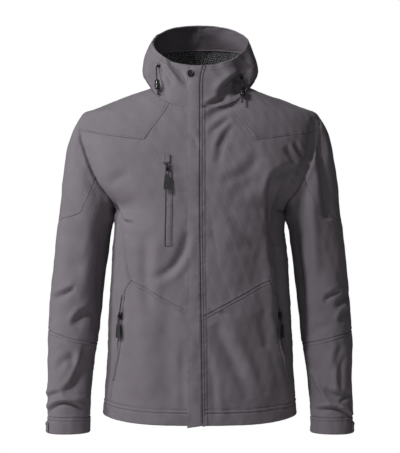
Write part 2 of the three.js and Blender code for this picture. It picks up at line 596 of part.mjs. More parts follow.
// A zip's slider with its arch, and a pull of a wire link and a moulded grip that hangs from the arch.
// They are made upright in their own frame: +X across, +Y outwards, +Z up, with the hinge at the height of the arch's eye.
function addSlider(name, frame) {
  const group = new THREE.Group();
  group.matrixAutoUpdate = false;
  group.matrix.makeBasis(frame.side, frame.out, frame.along).setPosition(frame.point);
  jacket.add(group);
  const { width, length, thick, lift } = sliderSize;
  const plate = new THREE.Shape();
  plate.moveTo(-width / 2, length / 2);
  plate.lineTo(-width / 2 + 1.2, -length / 2);
  plate.lineTo(width / 2 - 1.2, -length / 2);
  plate.lineTo(width / 2, length / 2);
  plate.quadraticCurveTo(0, length / 2 + 2.4, -width / 2, length / 2);
  const body = new THREE.ExtrudeGeometry(plate, { depth: thick, bevelEnabled: false, curveSegments: 6 })
    .rotateX(Math.PI / 2)
    .translate(0, lift + thick, 0);
  const hinge = pulls.hinge + lift;
  const foot = lift + thick - hinge - 0.2;
  const arch = new THREE.Shape();
  arch.moveTo(4.2, foot);
  arch.absarc(0, 0, 2.5, 0.2, Math.PI - 0.2, false);
  arch.lineTo(-4.2, foot);
  arch.closePath();
  const bridge = new THREE.ExtrudeGeometry(arch, { depth: 2.4, bevelEnabled: false, curveSegments: 8 })
    .translate(0, 0, -1.2)
    .rotateY(Math.PI / 2)
    .translate(0, hinge, 0);
  const eye = new THREE.CylinderGeometry(1.5, 1.5, 4, 16).rotateZ(Math.PI / 2).translate(0, hinge, 0);
  addMesh(`${name}_slider`, solid(body).add(solid(bridge)).subtract(solid(eye)), metal, group);

  const link = new THREE.Shape();
  link.moveTo(-3.1, 0.7);
  link.lineTo(3.1, 0.7);
  link.lineTo(2.7, -pulls.linkLength);
  link.lineTo(-2.7, -pulls.linkLength);
  link.closePath();
  const slot = new THREE.Path();
  slot.moveTo(-1.75, -0.7);
  slot.lineTo(-1.6, -pulls.linkLength + 1.4);
  slot.lineTo(1.6, -pulls.linkLength + 1.4);
  slot.lineTo(1.75, -0.7);
  slot.closePath();
  link.holes.push(slot);
  const wire = new THREE.ExtrudeGeometry(link, { depth: 1.2, bevelEnabled: false })
    .rotateX(Math.PI / 2)
    .translate(0, hinge + 0.6, 0);
  addMesh(`${name}_pull_link`, solid(wire), metal, group);

  const tab = new THREE.Shape();
  const top = -pulls.linkLength - seamGap;
  const end = top - pulls.gripLength;
  tab.moveTo(-pulls.gripTop / 2 + 2, top);
  tab.lineTo(pulls.gripTop / 2 - 2, top);
  tab.quadraticCurveTo(pulls.gripTop / 2, top, pulls.gripTop / 2, top - 3);
  tab.lineTo(pulls.gripBottom / 2, end + 2);
  tab.quadraticCurveTo(pulls.gripBottom / 2, end, pulls.gripBottom / 2 - 2, end);
  tab.lineTo(-pulls.gripBottom / 2 + 2, end);
  tab.quadraticCurveTo(-pulls.gripBottom / 2, end, -pulls.gripBottom / 2, end + 2);
  tab.lineTo(-pulls.gripTop / 2, top - 3);
  tab.quadraticCurveTo(-pulls.gripTop / 2, top, -pulls.gripTop / 2 + 2, top);
  const grip = new THREE.ExtrudeGeometry(tab, { depth: pulls.gripThick, bevelEnabled: false, curveSegments: 4 })
    .rotateX(Math.PI / 2)
    .translate(0, hinge + pulls.gripThick / 2, 0);
  addMesh(`${name}_pull_grip`, solid(grip), black, group);
}

function buildPockets() {
  const up = new THREE.Vector3(0, 0, 1);
  const chestPath = (x) => steps(8, chestZip.bottom, chestZip.top).map((z) => [x, z]);
  addMesh("chest_zip_tape", stripOn(chestPath(chestZip.tapeX), chestZip.tape, 0.8, 0.8), black);
  addMesh("chest_welt", stripOn(chestPath(chestZip.weltX), chestZip.welt, 0.8, 1.5), softshell);
  addSlider("chest", placeOn(chestZip.x, chestZip.sliderZ, up));

  for (const [name, sign] of [["right", -1], ["left", 1]]) {
    const seam = sideSeamLower.map(([x, z]) => ({ x: sign * x, z })).reverse();
    const path = steps(8, handZip.bottom, handZip.top).map((z) => [read(seam, "z", "x", z), z]);
    addMesh(`hand_zip_tape_${name}`, stripOn(path, handZip.tape, 0.9, 0.8, sign * (handZip.width / 2 + 2.4)), black);
    addMesh(`hand_welt_${name}`, stripOn(path, handZip.width, 0.9, 1.5), softshell);
    const x = read(seam, "z", "x", handZip.sliderZ);
    addSlider(`hand_${name}`, placeOn(x, handZip.sliderZ, up));
  }
}

// The hood's two drawcords: an eyelet, a short elastic cord that hangs from it, a cord lock on it and the knot at its end
function buildDrawcords() {
  for (const { name, side, turn, step, end, lockFrom } of drawcords) {
    const place = placeOnHood(side * turn, step);
    const { out } = place;
    const ring = [[2, 0], [4.6, 0], [4.6, 0.8], [3.6, 1.5], [2, 1.5], [2, 0]];
    addMesh(`eyelet_${name}`, turnedOn(place, ring, eyeletLift), metal);

    const seat = place.point.clone().addScaledVector(out, eyeletLift);
    const bend = [[0, 0], [1.5, 0.05], [3, 0.35], [4.4, 1], [5.6, 2.1], [6.4, 3.6], [6.9, 5.4]];
    const route = bend.map(([outwards, down]) =>
      seat.clone().addScaledVector(out, outwards).add(new THREE.Vector3(0, 0, -down)),
    );
    const from = route[route.length - 1];
    const to = new THREE.Vector3(...end);
    const hanging = (share) => from.clone().lerp(to, share);
    route.push(...steps(8, 0.1, 1).map(hanging));
    const section = new THREE.Shape();
    section.absarc(0, 0, cordRadius, 0, 2 * Math.PI, false);
    const cord = new THREE.ExtrudeGeometry(section, {
      extrudePath: new THREE.CatmullRomCurve3(route),
      steps: 24,
      curveSegments: 4,
      bevelEnabled: false,
    });
    addMesh(`drawcord_${name}`, solid(cord), black);

    const down = to.clone().sub(from).normalize();
    const { radius, bore, length, lip } = toggleSize;
    const barrel = [
      [bore, 0],
      [radius - 0.8, 0],
      [radius, 1.5],
      [radius, 9],
      [lip, 10],
      [lip, 13],
      [radius, 14],
      [radius - 0.6, length],
      [bore, length],
      [bore, 0],
    ];
    addMesh(`cord_lock_${name}`, turnedOn({ point: hanging(lockFrom), out: down }, barrel, 0), metal);
    const knot = to.clone().addScaledVector(down, seamGap + knotRadius);
    const bead = new THREE.SphereGeometry(knotRadius, 10, 7).translate(knot.x, knot.y, knot.z);
    addMesh(`cord_knot_${name}`, solid(bead), black);
  }
}

buildTorso();
buildSleeves();
buildHood();
buildClosure();
buildPockets();
buildDrawcords();

export default jacket;
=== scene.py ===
"""A hooded softshell jacket, zipped up and filled out as it is worn.

Each cloth form is a loft through the sections of a table, as a cutter's block is. A panel is a patch of its
form between its seams, with the folds, seam dips and stitching of the real cloth worked into it. Left and
right are the wearer's, the front faces -Y, and lengths are in millimetres unless they say otherwise.
"""

import logging
import math
import random
from dataclasses import dataclass, field
from enum import Enum

import bmesh
import bpy
import numpy as np
from mathutils import Matrix, Vector


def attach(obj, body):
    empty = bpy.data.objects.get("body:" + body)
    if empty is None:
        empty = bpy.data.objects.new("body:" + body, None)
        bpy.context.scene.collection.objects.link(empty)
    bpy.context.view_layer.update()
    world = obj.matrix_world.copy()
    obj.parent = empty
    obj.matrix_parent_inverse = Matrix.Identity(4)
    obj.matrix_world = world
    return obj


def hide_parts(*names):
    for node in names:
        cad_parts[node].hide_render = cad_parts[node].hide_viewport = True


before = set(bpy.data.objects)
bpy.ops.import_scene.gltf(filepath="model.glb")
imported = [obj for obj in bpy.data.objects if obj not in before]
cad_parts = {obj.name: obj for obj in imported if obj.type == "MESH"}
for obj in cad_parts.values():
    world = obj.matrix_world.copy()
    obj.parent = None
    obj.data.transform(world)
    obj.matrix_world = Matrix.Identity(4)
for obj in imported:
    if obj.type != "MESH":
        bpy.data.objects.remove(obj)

log = logging.getLogger("jacket")

MM = 0.001
ROOT = "jacket"
QUARTER = math.pi / 2
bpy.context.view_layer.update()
UP = np.array([0.0, 0.0, 1.0])
ACROSS = np.array([1.0, 0.0, 0.0])

Array = np.ndarray
Line = tuple[tuple[float, float], ...]
Piece = bpy.types.Object
Mesh = bpy.types.Mesh
Shape = bmesh.types.BMesh
Tree = bpy.types.NodeTree
Socket = bpy.types.NodeSocket


class Side(Enum):
    """The wearer's side that a piece is on."""

    LEFT = 1
    RIGHT = -1

    @property
    def word(self) -> str:
        """The side's name in a piece's name."""
        return self.name.lower()


# Smooth curves and tables


class Table:
    """Smooth curves through the rows of a table. They never overshoot a row."""

    def __init__(self, columns: tuple[str, ...], rows: tuple[tuple[float, ...], ...]) -> None:
        """Keep the table's columns. The first is the place along the form, and it grows from row to row."""
        self.values = {name: np.array([row[i] for row in rows], float) for i, name in enumerate(columns)}
        self.places = self.values[columns[0]]

    def at(self, column: str, place: Array) -> Array:
        """Read one column between the rows.

        Args:
            column: The column's name.
            place: The places.

        Returns:
            The values there.
        """
        places = self.places
        values = self.values[column]
        place = np.clip(np.asarray(place, float), places[0], places[-1])
        rise = np.diff(values) / np.diff(places)
        product = rise[:-1] * rise[1:]
        total = rise[:-1] + rise[1:]
        middle = np.divide(2 * product, total, out=np.zeros_like(product), where=product > 0)
        slope = np.concatenate(([rise[0]], middle, [rise[-1]]))
        row = np.clip(np.searchsorted(places, place, side="right") - 1, 0, len(places) - 2)
        span = places[row + 1] - places[row]
        t = (place - places[row]) / span
        ease = t * t * (3 - 2 * t)
        lift = span * (slope[row] * t * (1 - t) ** 2 - slope[row + 1] * t * t * (1 - t))
        return values[row] * (1 - ease) + values[row + 1] * ease + lift


def signed_power(value: Array, power: Array | float) -> Array:
    """Raise the size of a value to a power and keep its sign."""
    return np.sign(value) * np.abs(value) ** power


def smooth_step(value: Array, low: float, high: float) -> Array:
    """Rise smoothly from 0 at low to 1 at high."""
    t = np.clip((np.asarray(value, float) - low) / (high - low), 0, 1)
    return t * t * (3 - 2 * t)


def rounded_path(points: Line | Array, steps: int = 10) -> Array:
    """Draw a smooth line through points, with a number of steps between two of them."""
    knots = np.array(points, float)
    padded = np.vstack([2 * knots[0] - knots[1], knots, 2 * knots[-1] - knots[-2]])
    out = []
    for i in range(1, len(padded) - 2):
        a, b, c, d = padded[i - 1 : i + 3]
        for t in np.linspace(0, 1, steps, endpoint=False):
            square = (2 * a - 5 * b + 4 * c - d) * t**2
            out.append(0.5 * (2 * b + (c - a) * t + square + (3 * b - a - 3 * c + d) * t**3))
    return np.array([*out, knots[-1]])


def crossing(first: Array, second: Array) -> tuple[float, float]:
    """Find where two lines of points cross.

    Returns:
        How far along each line the crossing is, counted in its points.
    """
    p = first[:-1, None, :]
    r = (first[1:] - first[:-1])[:, None, :]
    q = second[None, :-1, :]
    s = (second[1:] - second[:-1])[None, :, :]
    base = r[..., 0] * s[..., 1] - r[..., 1] * s[..., 0]
    base = np.where(np.abs(base) < 1e-12, 1e-12, base)
    gap = q - p
    t = (gap[..., 0] * s[..., 1] - gap[..., 1] * s[..., 0]) / base
    u = (gap[..., 0] * r[..., 1] - gap[..., 1] * r[..., 0]) / base
    miss = np.maximum(np.abs(t - 0.5), np.abs(u - 0.5))
    i, j = np.unravel_index(np.argmin(miss), miss.shape)
    return i + float(np.clip(t[i, j], 0, 1)), j + float(np.clip(u[i, j], 0, 1))


def stretch(line: Array, start: float, end: float) -> Array:
    """Take a line's part between two places, counted in its points. The end may come before the start."""
    if start > end:
        return stretch(line, end, start)[::-1]
    at = np.arange(len(line))
    inner = line[(at > start + 1e-6) & (at < end - 1e-6)]
    return np.vstack([read_at(start, at, line), inner, read_at(end, at, line)])


def run_of(points: Array, axis: int = 0) -> Array:
    """Measure how far along its line each point is. The lines of a grid run along an axis."""
    far = np.cumsum(np.linalg.norm(np.diff(points, axis=axis), axis=-1), axis=axis)
    return np.concatenate([0 * np.take(far, [0], axis), far], axis=axis)


def read_at(spots: Array | float, far: Array, values: Array) -> Array:
    """Read rows of values between their places."""
    return np.stack([np.interp(spots, far, column) for column in values.T], axis=-1)


def waves(x: Array, z: Array, seed: int, length: float, count: int = 7) -> Array:
    """Add up waves that run in many directions, for the unevenness of real cloth.

    Args:
        x: The first coordinate.
        z: The second coordinate.
        seed: The seed of their directions.
        length: A wave's typical length.
        count: How many to add.

    Returns:
        The sum, mostly between -1 and 1.
    """
    chance = random.Random(seed)
    total = np.zeros_like(x)
    for _ in range(count):
        turn = chance.uniform(0, math.pi)
        size = 2 * math.pi / (length * chance.uniform(0.7, 1.5))
        total += np.sin(size * (x * math.cos(turn) + z * math.sin(turn)) + chance.uniform(0, 6.28))
    return total / math.sqrt(count) * 0.8


@dataclass(frozen=True)
class Fold:
    """A trough or a ridge in the cloth along a line, seen from the front or the back.

    Attributes:
        path: Its line, as x and z.
        width: Half its width.
        depth: How far the middle stands out. A trough is below 0.
        lip: How much of the depth stands up again on the left, as seen along the path.
        spread: How much wider it is on the right.
    """

    path: Line
    width: float
    depth: float
    lip: float = 0.45
    spread: float = 1.0

    def height(self, x: Array, z: Array) -> Array:
        """Measure how far the fold moves the cloth out at each place, across and in height."""
        line = rounded_path(self.path, 4)
        reach = 3.5 * self.width * max(1.0, self.spread)
        near = (x > line[:, 0].min() - reach) & (x < line[:, 0].max() + reach)
        near &= (z > line[:, 1].min() - reach) & (z < line[:, 1].max() + reach)
        out = np.zeros_like(x)
        if not near.any():
            return out
        px, pz = x[near], z[near]
        best = np.full(px.shape, 1e9)
        along = np.zeros_like(px)
        side = np.zeros_like(px)
        lengths = np.hypot(*np.diff(line, axis=0).T)
        starts = np.concatenate(([0], np.cumsum(lengths)))
        for (ax, az), (bx, bz), start, size in zip(line[:-1], line[1:], starts, lengths):
            t = np.clip(((px - ax) * (bx - ax) + (pz - az) * (bz - az)) / size**2, 0, 1)
            dx = px - ax - t * (bx - ax)
            dz = pz - az - t * (bz - az)
            distance = np.hypot(dx, dz)
            closer = distance < best
            best = np.where(closer, distance, best)
            along = np.where(closer, (start + t * size) / starts[-1], along)
            side = np.where(closer, np.sign((bx - ax) * dz - (bz - az) * dx), side)
        taper = np.clip(4 * along * (1 - along), 0, 1) ** 0.7
        q = side * best / (self.width * np.where(side < 0, self.spread, 1))
        out[near] = self.depth * taper * (np.exp(-(q**2)) - self.lip * np.exp(-((q - 1.9) ** 2)))
        return out


def folds(*rows: tuple[float, ...]) -> tuple[Fold, ...]:
    """Make folds from rows: the width, depth, lip and spread, then the x and z of each point of the path."""
    return tuple(Fold(tuple(zip(row[4::2], row[5::2])), *row[:4]) for row in rows)


def fold_height(folds: tuple[Fold, ...], x: Array, z: Array) -> Array:
    """Add up the heights of several folds."""
    total = np.zeros_like(x)
    for fold in folds:
        total += fold.height(x, z)
    return total


# The cutter's blocks: the smooth forms that the panels lie on


class Form:
    """A smooth surface with two coordinates, which panels and trims lie on. It is the wearer's left side."""

    near: tuple[float, float] = (0.02, 1.0)

    def base(self, p: Array, q: Array) -> Array:
        """Place points on the bare form."""
        raise NotImplementedError

    def relief(self, points: Array, p: Array, q: Array) -> Array:
        """Measure how far folds move each point outwards."""
        return np.zeros(len(points))

    def pressed(self, points: Array) -> Array:
        """Measure how far each bare point is pressed to the front or back."""
        return np.zeros(len(points))

    def seen(self, places: Array) -> Array:
        """Turn places into the plane in which a panel's grid is blended."""
        return places

    def settle(self, places: Array, seen: Array) -> Array:
        """Correct a panel's places by those that were blended in that plane."""
        return places

    def normals(self, p: Array, q: Array) -> Array:
        """Find the outward direction at each place."""
        dp, dq = self.near
        across = self.base(p + dp, q) - self.base(p - dp, q)
        along = self.base(p, q + dq) - self.base(p, q - dq)
        out = np.cross(across, along)
        return out / np.maximum(np.linalg.norm(out, axis=1, keepdims=True), 1e-9)

    def point(self, p: Array, q: Array, lift: Array | float = 0.0, side: Side = Side.LEFT) -> Array:
        """Place points on the cloth.

        Args:
            p: The first coordinates.
            q: The second ones.
            lift: How far off the cloth.
            side: The wearer's side. The right one is the mirror image, with its own folds.

        Returns:
            One point a row.
        """
        points = self.base(p, q)
        normals = self.normals(p, q)
        mirror = np.array([side.value, 1, 1])
        points = points * mirror
        height = self.relief(points, p, q) + lift
        shift = np.column_stack([0 * p, self.pressed(points), 0 * p])
        return points + shift + normals * mirror * np.reshape(height * np.ones(len(points)), (-1, 1))


TORSO = Table(
    ("z", "half", "front", "back", "power"),
    (
        (-730, 209, 126, 130, 2.3), (-690, 207.5, 128, 132, 2.3), (-600, 201.5, 131.5, 131.5, 2.3),
        (-490, 196, 133.5, 129, 2.3), (-380, 189.5, 136, 130, 2.3), (-320, 184.5, 138, 135, 2.3),
        (-285, 182, 139, 138, 2.3), (-262, 180.4, 139.5, 140, 2.3), (-255, 180.6, 139.5, 141, 2.3),
        (-245, 186, 139.5, 142, 2.3), (-225, 210, 139, 144, 2.3), (-200, 238, 138, 145, 2.3),
        (-170, 257, 136, 146, 2.25), (-135, 266, 132, 145, 2.2), (-100, 268, 126, 140, 2.15),
        (-75, 265, 120, 133, 2.1), (-56, 258, 114, 125, 2.05), (-47, 251, 111, 121, 2),
        (-36, 222.5, 107, 114, 2), (-24, 191.5, 102, 106, 2), (-12, 160.5, 97, 99, 2),
        (0, 129, 92, 92, 2), (10, 103, 88, 87, 2), (20, 80, 84, 83, 2), (32, 60, 80, 79, 2),
    ),
)
ARMHOLE = Table(
    ("z", "front", "back"),
    (
        (-254, 181, 181), (-236, 187, 196), (-213, 203.5, 214), (-187, 219.5, 229), (-157, 232.5, 239),
        (-129, 243, 246), (-99, 252, 252), (-70, 255, 255), (-49, 253, 253),
    ),
)
SLEEVE = Table(
    ("step", "outer_x", "outer_z", "inner_x", "inner_z", "depth", "middle"),
    (
        (0, 253, -49, 181, -254, 72, 1), (1, 263, -63, 183, -258, 73, 1), (2, 274, -85, 184, -262, 75, 2),
        (3, 284, -118, 184.8, -267, 77, 3), (4, 291, -160, 186, -273, 78, 4),
        (5, 297, -205, 187.6, -282, 78, 5), (6, 302, -255, 190, -296, 77, 6),
        (7, 308, -310, 195.5, -328, 74, 7), (8, 314, -365, 201.5, -374, 70, 6),
        (9, 319, -420, 207, -423, 66, 3), (10, 324, -475, 212, -474, 62, -2),
        (11, 326, -525, 217, -524, 60, -8), (12, 326, -575, 225, -574, 57, -15),
        (13, 325, -625, 231, -624, 53, -21), (14, 324.5, -665, 233, -664, 50, -26),
        (15, 324.5, -694, 233.5, -693, 47, -31), (16, 325, -726, 234, -725, 45, -35),
    ),
)
HOOD = Table(
    ("step", "half", "front", "back", "z_front", "z_side", "z_back", "fold"),
    (
        (0, 104, 107, 83, -44, 9.6, 18, 0), (1, 107, 108, 104, -32, 19, 8, 3),
        (2, 114, 108, 142, -18, 25, -12, 9), (3, 121.5, 107, 178, -3, 33, 4, 14),
        (4, 124.5, 105, 190, 10, 47, 44, 15), (5, 121.5, 102, 176, 24, 67, 90, 12),
        (6, 113, 98, 152, 36, 90, 127, 6), (7, 104, 94, 128, 48, 112, 161, 0),
    ),
)
# The front closure isn't quite straight: how far it lies towards the wearer's left at each height.
LEAN = Table(
    ("z", "shift"), ((-706, 2.6), (-560, 1), (-400, -1.4), (-250, -3), (0, -3), (22, -1.6), (48, 4.5))
)
HOOD_STEPS = 7.0
CAP_FADE = 5.0
SLEEVE_POWER = 2.15
HOOD_POWER = 2.3
FOLD_TURN = 0.86
FOLD_SPREAD = 0.2
NECK_DROP = 1.15
NECK_FADE = 3.0
ARMHOLE_CALM = 9.0
UNDERARM = (-268.0, 13.0, 5.0)

# The cloth lies flat under the sliders, the snap and the eyelets, seen from the front.
SEATS = ((-66.5, -167, 22), (-165, -476, 22), (165, -476, 22), (-20, 26, 22), (-86, 45, 16), (92, 24, 12))

# Folds seen from the front, as rows for the function folds. The shared ones run over both body and sleeve.
SHARED_FOLDS = folds(
    (11, -3, 0.45, 1, -190, -205, -168, -188, -146, -176),
    (12, -2, 0.45, 1, -236, -118, -222, -150, -214, -186),
)
# At the armholes body and sleeve are drawn in together, seen from the front.
ARMHOLE_FOLDS = (
    Fold(tuple((-float(ARMHOLE.at("front", z)), z) for z in range(-70, -250, -9)), 1, -6, 0, 4),
    Fold(tuple((-float(ARMHOLE.at("front", z)), z) for z in range(-160, -268, -9)), 1.2, -6, 0, 12),
    *folds(
        (4, -9, 0, 6, 249, -62, 249, -99, 240, -129, 229, -157, 216, -187, 200, -213, 184, -236, 176, -258),
    ),
)
BODY_FOLDS = folds(
    # At the wearer's left armhole the chest falls away into shade.
    (8, -11, 0.1, 1, 244, -56, 238, -90, 232, -130, 217, -166, 198, -200),
    (8, -15, 0.1, 1.8, 150, -372, 148, -310, 146, -260, 148, -206, 164, -180, 210, -160),
    (12, -14, 0, 1.3, 166, -330, 168, -280, 171, -240, 180, -210, 202, -182),
    (6, -7, 0.5, 1, 178, -122, 190, -140, 204, -156),
    (5, -6, 0.5, 1, 196, -114, 208, -132, 220, -146),
    (12, 6, 0, 1, 146, -300, 140, -350, 146, -430, 156, -520),
    (14, 5, 0, 1, 168, -536, 172, -590, 186, -676),
    (10, -11, 0, 1.4, 180, -560, 171, -420, 168, -330, 172, -260),
    # The wearer's right: the underarm's folds, then the long ones down the front.
    (5, -5.5, 0.6, 1, -181.7, -238.7, -168, -262, -157, -280, -132, -284),
    (5, -3, 0.45, 1, -157, -284, -152, -300, -146, -312),
    (11, 3.5, 0, 1, -146, -282, -156, -340, -152, -430, -160, -560),
    (13, -6.5, 0.4, 1, -110, -300, -114, -400, -104, -480),
    (9, -6, 0.4, 1, -26, -300, -38, -344, -60, -376, -100, -400),
    (26, 4, 0, 1, -128, -318, -118, -480, -108, -650),
    (46, 7, 0, 1, -184, -290, -110, -306, -30, -314),
    (20, -4, 0.2, 1, -70, -420, -68, -560, -58, -690),
    (9, -2.5, 0.2, 1, -34, -500, -36, -600, -34, -700),
    (16, -2, 0.2, 1, -180, -420, -186, -520, -196, -640),
    (5, -1.6, 0.45, 1, -22, -96, -10, -112, -4, -130),
    # The wearer's left, under the collar and down the front.
    (46, 7, 0, 1, 30, -310, 90, -300, 156, -286),
    (28, 5, 0, 1, 126, -110, 140, -160, 136, -230, 128, -300),
    (7, -7, 0.3, 1.4, 8, -66, 34, -50, 66, -36, 92, -26),
    (6, -3.2, 0.45, 1, 18, -100, 40, -80, 64, -64),
    (6, -3.4, 0.45, 1, 36, -130, 50, -104, 70, -78),
    (7, -3, 0.45, 1, 38, -160, 44, -124, 64, -96),
    (11, -3.6, 0.45, 1, 42, -206, 66, -190, 96, -176, 124, -140),
    (16, -2.6, 0.45, 1, 60, -246, 96, -206, 140, -188),
    (14, -2.2, 0.45, 1, 24, -300, 60, -330, 110, -342),
    (11, -3.2, 0.45, 1, 60, -270, 96, -310, 134, -352),
    (14, -8, 0.5, 1, 30, -490, 62, -560, 104, -646),
    (12, -5, 0.3, 1, 124, -466, 138, -508, 138, -548),
    (8, -2.5, 0.45, 1, 16, -560, 26, -620, 30, -694),
    (16, 4.5, 0, 1, 132, -540, 144, -590, 150, -650),
    (5, -2, 0.45, 1, 18, -460, 36, -470, 58, -470),
)
COLLAR_FOLDS = folds(
    (5, -11, 0.4, 2, -24, 6, -44, 28, -62, 50, -66, 72),
    (7, -6, 0.5, 1, -80, 66, -76, 44, -64, 20, -60, 0),
    (6, -4, 0.45, 1, -98, 60, -92, 34, -86, 6),
    (8, -15, 0.3, 2.4, 38, -22, 58, 2, 80, 18, 102, 24),
    (6, -9, 0.3, 1.8, 10, -44, 34, -30, 60, -18),
    (9, -3, 0.45, 1, 26, 66, 36, 40, 56, 22),
    (6, -4, 0.45, 1, 70, 62, 90, 46, 108, 40),
    (5, -5, 0.45, 1, 80, 78, 98, 64, 114, 50),
    (8, -3.5, 0.45, 1, -112, 58, -104, 30, -96, 6),
)
SLEEVE_FOLDS = folds(
    # The wearer's right sleeve, from the armhole down.
    (13, -9, 0, 1, -194, -240, -203, -330, -213, -440, -222, -520),
    (14, 3.5, 0, 1, -228, -250, -238, -360, -246, -440),
    (18, -3, 0.2, 1, -262, -160, -270, -300, -262, -410),
    (6, -7, 0.5, 1, -312, -448, -300, -438, -282, -430, -262, -420),
    (12, -2.5, 0.45, 1, -300, -360, -262, -372, -226, -352),
    (7, -9, 0.4, 2.2, -268, -500, -252, -478, -222, -462),
    (8, -3.5, 0.45, 1, -296, -540, -272, -556, -262, -590),
    (8, -3.5, 0.45, 1, -302, -596, -288, -574, -262, -562),
    (6, -11, 0.25, 3.2, -290, -640, -268, -620, -250, -584, -240, -540),
    (5, 5, 0, 1, -296, -646, -266, -652, -236, -650),
    (4, -6, 0.4, 1, -326, -664, -318, -648, -304, -640, -292, -640),
    (4, -8.5, 0.5, 1, -324, -690, -314, -674, -298, -663, -276, -661, -258, -668, -246, -675),
    (7, 4, 0, 1, -322, -620, -320, -650, -324, -676),
    # The wearer's left sleeve.
    (11, -16, 0.2, 1.8, 272, -276, 266, -200, 258, -130, 250, -84),
    (10, 7, 0, 1, 226, -180, 234, -230, 240, -300, 246, -400),
    (14, -12, 0, 1, 194, -254, 203, -340, 213, -450, 222, -560),
    (18, -2.5, 0.2, 1, 262, -180, 276, -300, 270, -410),
    (5, -6.5, 0.4, 1, 262, -450, 268, -440, 282, -431, 300, -425),
    (7, -6, 0.3, 1, 286, -462, 304, -444, 324, -430),
    (6, -6.5, 0.5, 1, 296, -492, 304, -476, 322, -466),
    (8, -3, 0.45, 1, 232, -520, 250, -504, 276, -496),
    (7, -3.5, 0.45, 1, 288, -590, 292, -560, 300, -536),
    (6, -5, 0.4, 1, 300, -640, 296, -600, 304, -560),
    (4.5, 5.5, 0, 1, 232, -590, 244, -614, 262, -646, 276, -662),
    (8, -4, 0, 1, 236, -600, 234, -640, 240, -680),
    (6, -8, 0.2, 1, 262, -628, 276, -640, 302, -645, 318, -636),
    (4, -6, 0.3, 1, 292, -658, 306, -652, 320, -642),
    (4, -7.5, 0.5, 1, 240, -679, 258, -673, 280, -672, 300, -678, 322, -694),
    (3.5, 4.5, 0, 1, 292, -668, 306, -674, 322, -690),
)
BACK_FOLDS = folds(
    (10, -5, 0.45, 1, -190, -262, -150, -250, -100, -262),
    (11, -5.5, 0.45, 1, 186, -250, 150, -262, 108, -240),
    (18, -3, 0.2, 1, -60, -150, -90, -240, -96, -330),
    (18, -3.5, 0.2, 1, 74, -160, 88, -250, 104, -340),
    (14, -3.5, 0.45, 1, -120, -400, -60, -424, 10, -410),
    (13, -3, 0.45, 1, 130, -436, 70, -460, 20, -450),
    (20, 4, 0, 1, -90, -470, -100, -590, -84, -700),
    (20, -4.5, 0.2, 1, 62, -480, 84, -600, 80, -700),
    (18, -3.5, 0.2, 1, -20, -500, -6, -600, -14, -700),
)
BACK_SLEEVE_FOLDS = folds(
    (8, -6, 0.45, 1, -310, -430, -276, -446, -240, -436),
    (8, -5.5, 0.45, 1, -226, -474, -256, -486, -296, -476),
    (6, -5, 0.45, 1, -320, -640, -290, -656, -252, -648),
    (7, -5, 0.45, 1, -252, -590, -280, -616, -312, -622),
    (8, -6, 0.45, 1, 312, -424, 280, -446, 238, -440),
    (8, -5, 0.45, 1, 230, -480, 262, -492, 306, -478),
    (6, -5.5, 0.45, 1, 322, -648, 292, -660, 252, -652),
    (7, -4.5, 0.45, 1, 250, -598, 282, -620, 316, -612),
    (16, -3, 0.2, 1, -268, -150, -280, -280, -268, -400),
    (16, -3, 0.2, 1, 266, -160, 278, -290, 270, -400),
)


def mirrored(normals: Array, right: Array) -> Array:
    """Mirror the outward directions of points on the wearer's right."""
    return normals * np.where(right[:, None], [[-1, 1, 1]], [[1, 1, 1]])


def cloth_relief(
    points: Array, normals: Array, front: tuple[Fold, ...], back: tuple[Fold, ...], seed: int
) -> Array:
    """Work out how far folds and small unevenness move the cloth out.

    Args:
        points: Points on the bare form.
        normals: The outward directions there.
        front: The front's folds.
        back: The back's folds.
        seed: The seed of the unevenness.

    Returns:
        The cloth's height over the form.
    """
    x, y, z = points.T
    facing = smooth_step(-normals[:, 1], -0.1, 0.35)
    behind = smooth_step(normals[:, 1], -0.1, 0.35)
    height = fold_height(front, x, z) * facing + fold_height(back, x, z) * behind
    around = x + 0.83 * y
    height += 1.1 * waves(around, z, seed, 90.0)
    height += 0.45 * waves(around, z, seed + 1, 34.0)
    height += 0.12 * waves(around, z, seed + 2, 11.0)
    for seat_x, seat_z, reach in SEATS:
        height *= np.where(y < 0, smooth_step(np.hypot(x - seat_x, z - seat_z), 5, reach), 1)
    return height


def armhole_press(points: Array) -> Array:
    """Measure how far the armholes' folds press bare points back."""
    return -fold_height(ARMHOLE_FOLDS, points[:, 0], points[:, 2]) * smooth_step(-points[:, 1], 0, 40)


